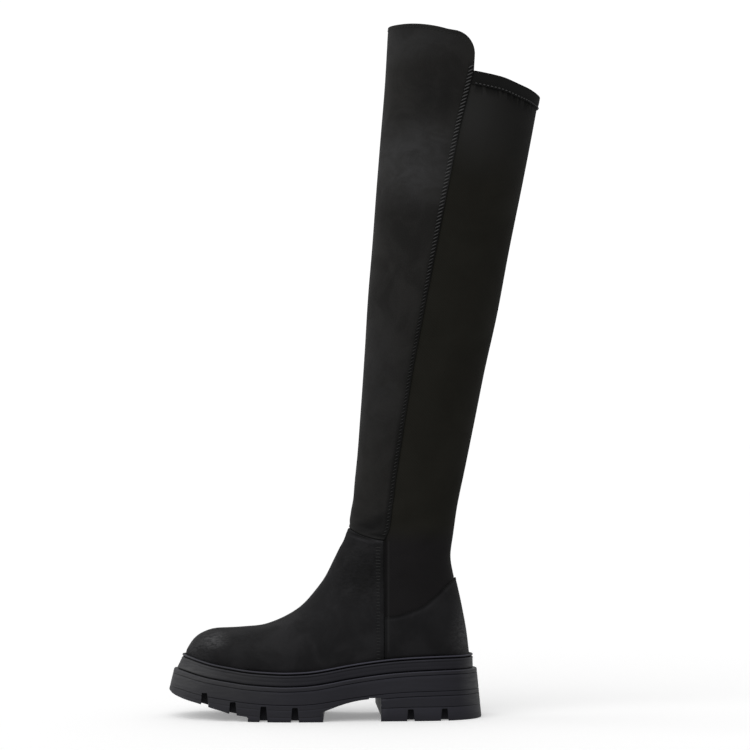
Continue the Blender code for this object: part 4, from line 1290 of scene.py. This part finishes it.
def build_insole():
    inset = -(WALL + INSOLE_CLEARANCE)
    profile = (
        # offset, height
        (inset - 1.6 * MM, 3.8), (inset - 0.7 * MM, 3.7), (inset - 0.15 * MM, 3.3),
        (inset, 2.8), (inset, 0.3),
    )
    return ring_solid("footbed", rings_above_sole(profile), LINING, 60)


def cutter(name, solids, collection):
    """A cutter of one or more prisms, each given as its two end loops of points."""
    points, faces = [], []
    for ends in np.asarray(solids, float):
        first, count = len(points), ends.shape[1]
        points.extend(ends.reshape(-1, 3).tolist())
        faces.append([first + k for k in range(count)])
        faces.append([first + 2 * count - 1 - k for k in range(count)])
        for k in range(count):
            near, far = first + k, first + (k + 1) % count
            faces.append([near, near + count, far + count, far])
    mesh = bpy.data.meshes.new(name)
    mesh.from_pydata(points, [], faces)
    cleaned(mesh)
    return linked(name, mesh, collection)


def across_boot(outline, near, far):
    """The end loops of a prism of that side view, between two places across the boot."""
    return [[(x, y, z) for x, z in outline] for y in (near, far)]


def sipe_prisms():
    """Thin cross grooves in the flats of the forefoot and the heel."""
    made = []
    for first, last, reach in SIPE_FIELDS:
        for x in np.arange(first, last, SIPE_PITCH):
            outline = [
                (x - 0.7 * SIPE_WIDTH, BELOW), (x + 0.7 * SIPE_WIDTH, BELOW),
                (x + 0.4 * SIPE_WIDTH, SIPE_DEPTH), (x - 0.4 * SIPE_WIDTH, SIPE_DEPTH),
            ]
            made.append(across_boot(outline, -reach, reach))
    return made


def sole_tip():
    return TOE_X - float(outsole_reach(0.0, ledge_height(0.0) - TOE_RISE))


def toe_tread(x):
    forward = (FOREFOOT_START - np.asarray(x)) / (FOREFOOT_START - sole_tip())
    return TOE_STEP + smooth(forward, TOE_TREAD, 1) * (TOE_RISE - TOE_STEP)


def tread_outline():
    """Side view of what the tread is cut to."""
    toe = np.linspace(sole_tip() - ARCH_HEIGHT, FOREFOOT_START - 1.2 * MM, 60)
    points = [(x, float(toe_tread(x))) for x in toe]
    points.append((FOREFOOT_START, TOE_STEP - 0.9 * MM))
    points += [(x, BELOW) for x in (FOREFOOT_START, FOREFOOT_END)]
    breast = HEEL_START - BREAST_SLANT
    for back in np.linspace(0, 1, 30):
        rise = ARCH_START + smooth(back, ARCH_LINE, 1) * (ARCH_HEIGHT - ARCH_START)
        points.append((FOREFOOT_END + back * (breast - FOREFOOT_END), float(rise)))
    corner = BREAST_CORNER - 0.8 * BREAST_SLANT
    points += [(breast, BREAST_CORNER), (HEEL_START, corner), (HEEL_START, BELOW)]
    far, above = float(foot_x(1.2)), 2 * HEEL_STACK
    return points + [(far, BELOW), (far, above), (points[0][0], above)]


def notch_outline(middle, depth):
    """Side view of a notch in the tread, with its top corners rounded."""
    floor = float(toe_tread(middle)) if middle < FOREFOOT_START else 0
    top, low = floor + depth, floor - depth / 2
    half = NOTCH_WIDTH / 2
    spread = half + NOTCH_TAPER * (top - low)
    r = NOTCH_ROUNDING
    return [
        (middle - spread, low), (middle - half - 0.05 * MM, top - r),
        (middle - half + 0.25 * r, top - 0.25 * r), (middle - half + r, top),
        (middle + half - r, top), (middle + half - 0.25 * r, top - 0.25 * r),
        (middle + half + 0.05 * MM, top - r), (middle + spread, low),
    ]


def side_ring(depth, heel_depth, shift=0.0, cut=0.0, start=0.0):
    """A ring on the outsole's side, between depths below the ledge at the ball and at the heel.

    shift lowers it all round, and cut sets it in from the share of the foot start on.
    """
    def below(share):
        t = np.clip((share - BALL_SHARE) / (0.9 - BALL_SHARE), 0, 1)
        return depth + (heel_depth - depth) * t + shift

    def reach(share):
        faded = np.clip((share - start) / GROOVE_FADE, 0, 1)
        return outsole_reach(share, below(share)) - cut * faded

    return ring(reach, lambda share: ledge_height(share) - below(share))


def outsole_rings():
    """The rings of the outsole from the ledge down, and their tones."""
    rings = [
        ring(lambda s: outsole_reach(s, 0) - inward * MM, lambda s: ledge_height(s) - fall * MM)
        for inward, fall, _ in OUTSOLE_EDGE
    ]
    rings.append(side_ring(OUTSOLE_EDGE_END, OUTSOLE_EDGE_END))
    tones = [tone for _, _, tone in OUTSOLE_EDGE] + [0]
    for (depth, heel_depth, start, cut), following in zip(GROOVES, GROOVES[1:] + (None,)):
        for step, share, tone in GROOVE_SECTION:
            rings.append(side_ring(depth, heel_depth, step * GROOVE_WIDTH, share * cut, start))
            tones.append(tone)
        for part in (0.25, 0.5, 0.75) if following else ():
            at_ball = depth + part * (following[0] - depth)
            rings.append(side_ring(at_ball, heel_depth + part * (following[1] - heel_depth)))
            tones.append(0)
    for up, inward, height, tone in OUTSOLE_FOOT:
        rings.append(ring(
            lambda s: outsole_reach(s, ledge_height(s) - up * MM) - inward * MM,
            lambda s: np.full(len(s), height * MM),
        ))
        tones.append(tone)
    return rings, tones


def breast_prism():
    """What is cut away in front of the heel's slanted breast."""
    half, far = BALL_WIDTH / 2, -0.7 * BALL_WIDTH
    back = HEEL_START - 2 * BREAST_SLANT
    slope = BREAST_SLANT / BALL_WIDTH
    plan = [(HEEL_START - slope * (y + half), y) for y in (far, half)] + [(back, half), (back, far)]
    return [[(x, y, z) for x, y in plan] for z in (-2 * MM, ARCH_HEIGHT + ARCH_STEP)]


def build_outsole():
    rings, tones = outsole_rings()
    outsole = ring_solid("tread", rings, RUBBER, 40, tones)
    cutters = bpy.data.collections.new("cutters")
    tools = [cutter("tread_cut", [across_boot(tread_outline(), -0.1, 0.1)], cutters)]
    for number, (middle, depth, side, run) in enumerate(NOTCHES):
        for sign in (-1, 1):
            ends = sign * (side + run), sign * (side - run)
            solid = across_boot(notch_outline(middle, depth), *ends)
            tools.append(cutter(f"notch_{number}_{sign + 1}", [solid], cutters))
    tools.append(cutter("sipes", sipe_prisms(), cutters))
    tools.append(cutter("breast_cut", [breast_prism()], cutters))
    for tool in tools:
        modifier = outsole.modifiers.new(tool.name, "BOOLEAN")
        modifier.object = tool
        modifier.operation = "INTERSECT" if tool is tools[0] else "DIFFERENCE"
        modifier.solver = "EXACT"
    bpy.context.view_layer.update()
    graph = bpy.context.evaluated_depsgraph_get()
    cut = bpy.data.meshes.new_from_object(outsole.evaluated_get(graph))
    outsole.modifiers.clear()
    outsole.data = cut
    shade_smooth(cut, 32)
    for tool in tools:
        bpy.data.objects.remove(tool)
    bpy.data.collections.remove(cutters)
    return outsole


# Panels of the boot

def even_columns(a, b, rows):
    """Places at shares of the real length of dense columns a, b."""
    places = np.stack([a, b], axis=-1)
    along = lengths_along(surface(places)[0])
    picked = []
    for k in range(places.shape[1]):
        share = along[:, k] / max(along[-1, k], 1e-9)
        both = [np.interp(rows, share, places[:, k, axis]) for axis in (0, 1)]
        picked.append(np.column_stack(both))
    return np.stack(picked, axis=1)


def straight_columns(start, stop, columns, rows):
    """Places down columns b, from row start(b) to row stop(b)."""
    a = start + DENSE * (stop - start)
    return even_columns(a, np.broadcast_to(columns, a.shape), rows)


def bent_columns(start, stop, rows):
    """Places from the toe's tip back, along columns start that bend late to the places stop."""
    bend = DENSE ** 18
    return even_columns(DENSE * stop[:, 0], start + bend * (stop[:, 1] - start), rows)


def join_curve(outer, inner):
    """One curve across the boot from two that start at the ridge, one a side."""
    return np.vstack([outer[::-1], inner[1:]])


def ridge_start(places):
    """The curve with its first place put on the ridge."""
    places = places.copy()
    places[0, 1] = HALF
    return places


def vertical_seam(side, top, lift=0.0):
    """Places of the vertical seam from the sole up to a height."""
    x = foot_x(FOOT_SEAM) + lift
    places = locate([(x, z) for z in np.linspace(welt_top(FOOT_SEAM), top, 200)], side)
    places[0, 1] = 0 if side < 0 else WIDE
    return places


def kept_behind(places, line):
    """Columns that end on the upright line, with no place past it."""
    at = read_field(POINTS, places[..., 0], np.clip(places[..., 1], 0, WIDE))
    away = lengths_along(at)
    away = away[-1:] - away
    limit = line - 0.6 * away
    ends_there = np.abs(at[-1:, :, 0] - line) < 0.1 * MM
    past = (at[..., 0] > limit) & (away > 0) & (away < 20 * MM) & ends_there
    for row, column in np.argwhere(past):
        side = -1 if places[row, column, 1] < HALF else 1
        places[row, column] = locate([(limit[row, column], at[row, column, 2])], side)[0]
    return places


def skirt(edge, sign):
    """Places below a foot line, from the lowest up."""
    return np.stack([edge + (0, sign * depth) for depth in SKIRT], axis=1)


def vamp_end(side):
    """Places along the vamp's back edge, from the ridge down, and the columns that lead to them."""
    edge = ankle_edge()
    ankle = ridge_start(locate(edge, side))
    seam = vertical_seam(side, edge[-1, 1])[::-1]
    seam[0] = ankle[-1]
    ends = []
    for curve in (ankle, seam):
        count = round(length_of(curve) / SEAM_STEP) + 1
        ends.append(resample(curve, np.linspace(0, 1, count)))
    ends = np.vstack([ends[0][:-1], ends[1]])
    away = np.abs(ends[:, 1] - HALF)
    lead = away.copy()
    nearest = np.argmin(np.where(np.arange(len(away)) > len(ends) // 3, away, np.inf))
    hidden = np.nonzero(away[:nearest] > away[nearest] - 3)[0]
    bridge = [hidden[0] - 1, nearest + 6]
    between = np.arange(bridge[0], bridge[1] + 1)
    lead[between] = np.interp(between, bridge, away[bridge])
    return ends, HALF + side * lead


def build_vamp():
    (outer, outer_lead), (inner, inner_lead) = (vamp_end(side) for side in (-1, 1))
    stop = join_curve(outer, inner)
    start = np.concatenate([outer_lead[::-1], inner_lead[1:]])
    rows = spaced(VAMP_RUN, PANEL_STEP, False, True)
    rows = 1 - with_fine_rows(1 - rows, VAMP_RUN)[::-1]
    places = kept_behind(bent_columns(start, stop, rows), foot_x(FOOT_SEAM))
    skirts = skirt(places[:, 0], -1), skirt(places[:, -1], 1)[:, ::-1]
    places = np.concatenate([skirts[0], places, skirts[1]], axis=1)

    def relief(points, distances):
        puff = 0.45 * MM * bell(distances["a1"], 3 * MM, 2.4 * MM)
        return puff + CREASE_SHARE * soft_forms(points, VAMP_CREASES)

    # Painted shade in the creases' troughs and the instep's hollow, a painted highlight on the
    # creases' ridges, and a darker band under the ladder stitches.
    def tone(points, distances):
        away = distances["a1"] / MM
        x, z = points[..., 0] / MM, points[..., 2] / MM
        ladder = np.clip(away - 1, 0, 1) * np.clip(7.4 - away, 0, 1) * np.clip((148 - z) / 3, 0, 1)
        # Painted shade in the instep's hollow.
        hollow = bell(x, -45, 15) * bell(z, 128, 20)
        return painted_crease_shade(points, VAMP_CREASES) - 0.22 * ladder - 0.3 * hollow

    made = panel("vamp_leather", places, GAP, OVERLAY, VAMP, ("a1",), relief, 1.1 * MM, tone=tone)
    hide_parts("vamp")


def build_counter():
    halves = []
    for side in (-1, 1):
        foot = 0 if side < 0 else WIDE
        edge = counter_edge()
        top = back_stop(locate(edge + (GAP, 0), side), side)
        left = vertical_seam(side, edge[0, 1], GAP)
        left[-1] = top[0]
        bottom = np.column_stack([np.linspace(left[0, 0], FOOT_STEPS, 80), np.full(80, foot)])
        right = np.column_stack([np.linspace(FOOT_STEPS, top[-1, 0], 60), np.full(60, foot)])
        u = spaced(length_of(bottom), SEAM_STEP, True, False)
        w = spaced(length_of(right), 2.0 * MM, False, True)
        places = coons(bottom, top, left, right, u, w)
        halves.append(np.concatenate([skirt(places[:, 0], side), places], axis=1))

    def relief(points, distances):
        return -0.25 * MM * bell(distances["b1"], 3.2 * MM, 0.9 * MM)

    # Painted shadow along the counter's top edge and a painted highlight on the lip just below it.
    def tone(points, distances):
        away = distances["b1"]
        return 0.4 * bell(away, 3 * MM, MM) - bell(away, 0, 1.4 * MM)

    made = panel("counter_leather", halves[0], GAP, GAP + COUNTER_THICKNESS, COUNTER,
                 ("a0", "a1", "b1"), relief, 0.7 * MM, halves[1], tone)
    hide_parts("counter")


def flap_curves(side):
    """Places from the shin to mid-corner, and from mid-corner down to the notch."""
    edge, half = flap_edge()
    places = ridge_start(locate(edge, side))
    return places[:half + 1], places[half:]


def front_edges(side):
    """The front panel's edges on one side: at the ankle, at the top, and up the side seam."""
    low = ankle_edge(GAP)
    bottom = ridge_start(locate(low, side))
    top, fall = flap_curves(side)
    seam = side_seam(np.linspace(low[-1, 1], notch_point()[1] - GAP, 160))
    seam[:, 0] += (low[-1, 0] - seam[0, 0]) * np.exp(-(seam[:, 1] - seam[0, 1]) / (9 * MM))
    seam = locate(seam, side)
    seam[0] = bottom[-1]
    return bottom, top, np.vstack([seam[:-1], fall[::-1]])


def build_shaft_front():
    (bottom, top, left), (inner_bottom, inner_top, right) = (front_edges(side) for side in (-1, 1))
    bottom, top = join_curve(bottom, inner_bottom), join_curve(top, inner_top)
    u = spaced(length_of(bottom) * 1.3, PANEL_STEP)
    w = with_fine_rows(spaced(length_of(left), 3.0 * MM), length_of(left))
    places = coons(bottom, top, left, right, u, w)
    notch_z = notch_point()[1]

    def band(points, distances):
        """1 along the thin margin beside the side seam, below the notch."""
        away = np.minimum(distances["a0"], distances["a1"])
        below = np.clip((notch_z + 8 * MM - points[..., 2]) / (6 * MM), 0, 1)
        return np.clip((5.4 * MM - away) / (0.9 * MM), 0, 1) * below

    def ridges(distances):
        """The sunk line along the ankle and the collar, and the raised one nearer the edge."""
        away = np.minimum(distances["b0"], distances["b1"]) / MM
        return bell(away, 3.5, 1.0), bell(away, 1.3, 0.9)

    def relief(points, distances):
        away = np.minimum(distances["a0"], distances["a1"])
        rim = 0.15 * MM * bell(away, 6.6 * MM, 1.2 * MM)
        groove, ridge = ridges(distances)
        seam = 0.15 * MM * (ridge - groove)
        folds = CREASE_SHARE * soft_forms(points, FRONT_CREASES)
        return rim + seam - 0.3 * MM * band(points, distances) + folds

    # Painted highlight on the raised line, painted shade in the sunk line, in the sunk margin
    # beside the side seam and in the creases.
    def tone(points, distances):
        groove, ridge = ridges(distances)
        seam = 0.2 * ridge - 0.2 * groove
        return seam - 0.75 * band(points, distances) + painted_crease_shade(points, FRONT_CREASES)

    made = panel("shaft_front_leather", places, GAP, GAP + FRONT_THICKNESS, SUEDE,
                 ("a0", "a1", "b0", "b1"), relief, 0.8 * MM, tone=tone)
    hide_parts("shaft_front")
    return {-1: left, 1: right}


def build_hem():
    halves = []
    for side in (-1, 1):
        top = hem_edge() + np.linspace([2 * GAP, 0], [0, 0], HEM_POINTS)
        top = back_stop(locate(top, side), side)
        low = hem_edge(HEM_WIDTH)
        low[0] = side_seam(low[:1, 1], 2 * GAP)[0]
        bottom = back_stop(locate(low, side), side)
        left = np.linspace(bottom[0], top[0], 12)
        right = np.linspace(bottom[-1], top[-1], 12)
        u = spaced(length_of(top), 1.6 * MM, True, False)
        w = spaced(HEM_WIDTH, 1.3 * MM)
        halves.append(coons(bottom, top, left, right, u, w))

    def relief(points, distances):
        along = distances["a0"]
        away = distances["b0"]
        ripple = np.sin(along / (2.4 * MM)) + 0.6 * np.sin(along / (3.7 * MM) + 1)
        dimple = -0.15 * MM * bell(away, 2.2 * MM, 0.8 * MM)
        thin = -0.6 * MM * bell(away, 0, 3.4 * MM)
        return thin + dimple + 0.08 * MM * ripple * bell(away, 0.5 * MM, 2.5 * MM)

    made = panel("hem_band", halves[0], GAP, GAP + HEM_THICKNESS, HEM, ("a0", "a1", "b0", "b1"),
                 relief, 0.25 * MM, halves[1])
    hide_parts("collar_hem")


def build_upper():
    """The whole lined wall: stretch panel outside, lining inside, with a rounded collar."""
    notch = locate([notch_point()], -1)[0]
    hem = back_stop(locate(hem_edge(), -1), -1)
    back, front = np.linspace(0, notch[1], 34), np.linspace(notch[1], WIDE - notch[1], 46)
    columns = np.unique(np.concatenate([back, front, WIDE - back]))
    mirrored = np.minimum(columns, WIDE - columns)
    order = np.argsort(hem[:, 1])
    join = np.interp(mirrored, hem[order, 1], hem[order, 0])
    join = np.where(mirrored < notch[1], join, notch[0])
    zero, heel = np.zeros(len(columns)), np.full(len(columns), float(FOOT_STEPS))
    foot = straight_columns(zero, heel, columns, np.linspace(0, 1, 70))
    leg = straight_columns(heel, join, columns, spaced(LEG_RUN, 3.2 * MM, False, True))
    body = np.concatenate([foot, leg[1:]])
    flap = np.nonzero((columns >= notch[1] - 1e-9) & (columns <= WIDE - notch[1] + 1e-9))[0]
    (outer_top, left), (inner_top, right) = (flap_curves(side) for side in (-1, 1))
    bottom, left, right = body[-1, flap], left[::-1], right[::-1]
    left[0], right[0] = bottom[0], bottom[-1]
    along = lengths_along(surface(bottom)[0])
    rows = spaced(FLAP_RUN, 3 * MM, False, True)
    cloth = coons(bottom, join_curve(outer_top, inner_top), left, right, along / along[-1], rows)
    made = Mesh()
    grids = []
    for places in (body, cloth.swapaxes(0, 1)):
        points, normals = surface(places)
        below = lengths_along(points)
        below = below[-1:] - below - HEM_WIDTH
        # Tone just under the hem, where the stretch cloth paints the shade of its puckers.
        band = bell(below, 0, 4.5 * MM) * (mirrored < notch[1] - 0.5) if places is body else 0.0
        outer = made.add(points, band)
        inner = made.add(points - normals * WALL)
        made.grid(outer, 0)
        made.grid(inner, 1)
        grids.append((outer, inner, points, normals))
    outer, inner, points, normals = grids[0]
    heel_row = len(foot)
    for edge in (0, -1):
        lip = []
        for layer in (0, WALL):
            rim = points[:heel_row, edge] - normals[:heel_row, edge] * layer
            lip.append(made.add(rim - (0, 0, WELT_HEIGHT - GAP)))
        made.grid(np.column_stack([outer[:heel_row, edge], lip[0]]), 0)
        made.grid(np.column_stack([inner[:heel_row, edge], lip[1]]), 1)
        made.grid(np.column_stack(lip), 1)
    for picked in (columns <= notch[1] + 1e-9, columns >= WIDE - notch[1] - 1e-9):
        made.grid(np.column_stack([outer[-1, picked], inner[-1, picked]]), 0)
    made.grid(np.column_stack([border(layer) for layer in grids[1][:2]]), 0)
    shell = made.build("stretch_wall", [STRETCH, LINING], 60, 2e-6)
    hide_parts("upper")


# Stitches

def stitches(name, ends, radius, lift, material, arch):
    """Short threads between pairs of places, at a lift over the wall. arch, in mm, humps them."""
    starts, stops = np.swapaxes(np.concatenate(ends), 0, 1)
    steps = np.linspace(0, 1, THREAD_STEPS + 1)
    rounds = np.linspace(0, 2 * math.pi, THREAD_SIDES + 1)[:-1]
    made = Mesh()
    radii = np.broadcast_to(radius, len(starts))
    for p, n, q, m, radius in zip(*surface(starts), *surface(stops), radii):
        middle = p[None] + steps[:, None] * (q - p)[None]
        normal = n[None] + steps[:, None] * (m - n)[None]
        normal /= np.linalg.norm(normal, axis=1, keepdims=True)
        ahead = (q - p) / max(np.linalg.norm(q - p), 1e-9)
        side = np.cross(normal, ahead)
        hump = np.sin(math.pi * steps)
        middle = middle + normal * (lift + radius * 0.2 + arch * MM * hump)[:, None]
        size = radius * (0.35 + 0.65 * hump ** 0.5)
        turn = np.cos(rounds)[None, :, None] * side[:, None]
        turn = turn + np.sin(rounds)[None, :, None] * normal[:, None]
        index = made.add(middle[:, None] + size[:, None, None] * turn)
        made.grid(np.hstack([index, index[:, :1]]))
        for end in (index[0], index[-1]):
            made.faces.append(np.array([end[:4], [end[0], *end[3:]]]))
            made.slots.append(np.zeros(2))
    piece = made.build(name, [material], 80, 1e-7)


def inset(curve, distance, toward):
    """A curve of places moved sideways over the surface by a distance, towards column toward."""
    step = 0.05
    shifted = curve.copy()
    shifted[:, 1] += step if toward > 0 else -step
    size = np.linalg.norm(surface(shifted)[0] - surface(curve)[0], axis=1)
    moved = curve.copy()
    moved[:, 1] += (step if toward > 0 else -step) * distance / np.maximum(size, 1e-9)
    return moved


def stitch_shares(curve, pitch, first=0.5, spare=0):
    """Shares of a curve's length where its stitches are, and that length."""
    length = length_of(curve)
    count = int(length / pitch)
    return (np.arange(count) + first) / (count + spare), length


def stitches_along(curve, pitch, reach, first=0.5, spare=0):
    """The ends of stitches that lie along a curve and reach as far to both sides."""
    at, length = stitch_shares(curve, pitch, first, spare)
    reach = reach / length
    return np.stack([resample(curve, at - reach), resample(curve, at + reach)], axis=1)


def build_side_stitches(sides):
    """Slanting threads up both side seams, thinner and flatter below the calf."""
    ends, radii = [], []
    low, high = ankle_edge(GAP)[-1, 1] + 2 * MM, notch_point()[1] + 5 * MM
    for side, curve in sides.items():
        at, length = stitch_shares(curve, SIDE_PITCH)
        z = surface(resample(curve, at))[0][:, 2]
        kept = (z > low) & (z < high)
        at = at[kept]
        worn = np.clip((0.45 - z[kept]) / 0.1, 0, 1)
        near = inset(resample(curve, at + 1.0 * MM / length), (0.7 + 0.3 * worn) * MM, -side)
        far = inset(resample(curve, at - 1.6 * MM / length), (5.0 - 1.2 * worn) * MM, -side)
        ends.append(np.stack([near, far], axis=1))
        radii.append((0.66 - 0.28 * worn) * MM)
    stitches("side_stitches", ends, np.concatenate(radii), GAP + FRONT_THICKNESS - 0.25 * MM,
             THREAD, 0.4)


def build_ladder():
    """Level threads up the vamp's back edge."""
    ends = []
    x = foot_x(FOOT_SEAM)
    for side in (-1, 1):
        curve = vertical_seam(side, ankle_edge()[-1, 1] - 5 * MM)
        at, _ = stitch_shares(curve, LADDER_PITCH, 0.7)
        heights = surface(resample(curve, at))[0][:, 2]
        both = [locate([(x - reach, z) for z in heights], side) for reach in LADDER_REACH]
        ends.append(np.stack(both, axis=1))
    stitches("vamp_stitches", ends, 0.45 * MM, OVERLAY - 0.2 * MM,
             DARK_THREAD, 0.15)


def build_hem_stitches():
    edge = hem_edge(HEM_WIDTH - 1.4 * MM)
    curves = [back_stop(locate(edge, side), side) for side in (-1, 1)]
    ends = [stitches_along(curve, HEM_PITCH, 1.0 * MM, 0.6, 1) for curve in curves]
    stitches("hem_stitches", ends, 0.6 * MM, GAP + HEM_THICKNESS - 0.2 * MM,
             THREAD, 0.25)


def build_flap_stitches():
    edge, half = flap_edge(3.0 * MM)
    curves = [ridge_start(locate(edge[:half + 6], side)) for side in (-1, 1)]
    ends = [stitches_along(curve, FLAP_PITCH, 0.9 * MM) for curve in curves]
    stitches("flap_stitches", ends, 0.4 * MM, GAP + FRONT_THICKNESS - 0.15 * MM,
             DARK_THREAD, 0.1)


# Stage

def build_floor():
    mesh = bpy.data.meshes.new("floor")
    mesh.from_pydata(
        [(x * FLOOR_REACH, y * FLOOR_REACH, 0) for x, y in ((-1, -1), (1, -1), (1, 1), (-1, 1))],
        [], [(0, 1, 2, 3)],
    )
    floor = linked("floor", mesh)
    white = Shader("floor_white")
    tone = white.greys(white.noise(3, 2), 0.96, 0.98)
    mesh.materials.append(white.finish(
        tone, 0.9, Specular_IOR_Level=0.1,
        Emission_Color=(1, 1, 1, 1), Emission_Strength=FLOOR_GLOW,
    ))
    floor.visible_diffuse = False
    floor.visible_glossy = False


def build_room():
    """A white background, whose light is weaker on the camera's side of the boot."""
    world = bpy.data.worlds.new("studio")
    bpy.context.scene.world = world
    world.use_nodes = True
    nodes, link = world.node_tree.nodes, world.node_tree.links.new
    background = nodes["Background"]
    background.inputs["Color"].default_value = (1, 1, 1, 1)
    direction = nodes.new("ShaderNodeSeparateXYZ")
    link(nodes.new("ShaderNodeTexCoord").outputs["Generated"], direction.inputs[0])
    room, strength = nodes.new("ShaderNodeMapRange"), nodes.new("ShaderNodeMapRange")
    link(direction.outputs["Y"], room.inputs["Value"])
    light = {"From Min": -1, "From Max": 1, "To Min": STUDIO_FRONT, "To Max": STUDIO_BACK}
    for key, value in light.items():
        room.inputs[key].default_value = value
    link(nodes.new("ShaderNodeLightPath").outputs["Is Camera Ray"], strength.inputs["Value"])
    link(room.outputs["Result"], strength.inputs["To Min"])
    strength.inputs["To Max"].default_value = BACKDROP
    link(strength.outputs["Result"], background.inputs["Strength"])


def build_lights():
    for name, strength, angle, tilt, turn in LIGHTS:
        light = bpy.data.lights.new(name, "SUN")
        light.energy = strength
        light.angle = math.radians(angle)
        linked(name, light).rotation_euler = (0, math.radians(tilt), math.radians(turn))


def build_camera():
    camera = bpy.data.cameras.new("camera")
    camera.sensor_width = SENSOR
    camera.lens = SENSOR * abs(CAMERA[1]) / FIELD
    camera.clip_end = 50
    made = linked("camera", camera)
    made.location = CAMERA
    made.rotation_euler = (math.pi / 2, 0, 0)
    bpy.context.scene.camera = made


def build_stage():
    build_floor()
    build_room()
    bpy.context.scene.view_settings.view_transform = "Standard"
    build_lights()
    build_camera()


def main():
    build_stage()
    soles = (build_outsole, "outsole"), (build_midsole, "midsole"), (build_welt, "welt")
    for build, node in soles:
        piece = build()
        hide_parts(node)
    footbed = build_insole()
    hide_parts("insole")
    build_upper()
    build_vamp()
    build_counter()
    sides = build_shaft_front()
    build_hem()
    build_side_stitches(sides)
    build_ladder()
    build_hem_stitches()
    build_flap_stitches()


main()
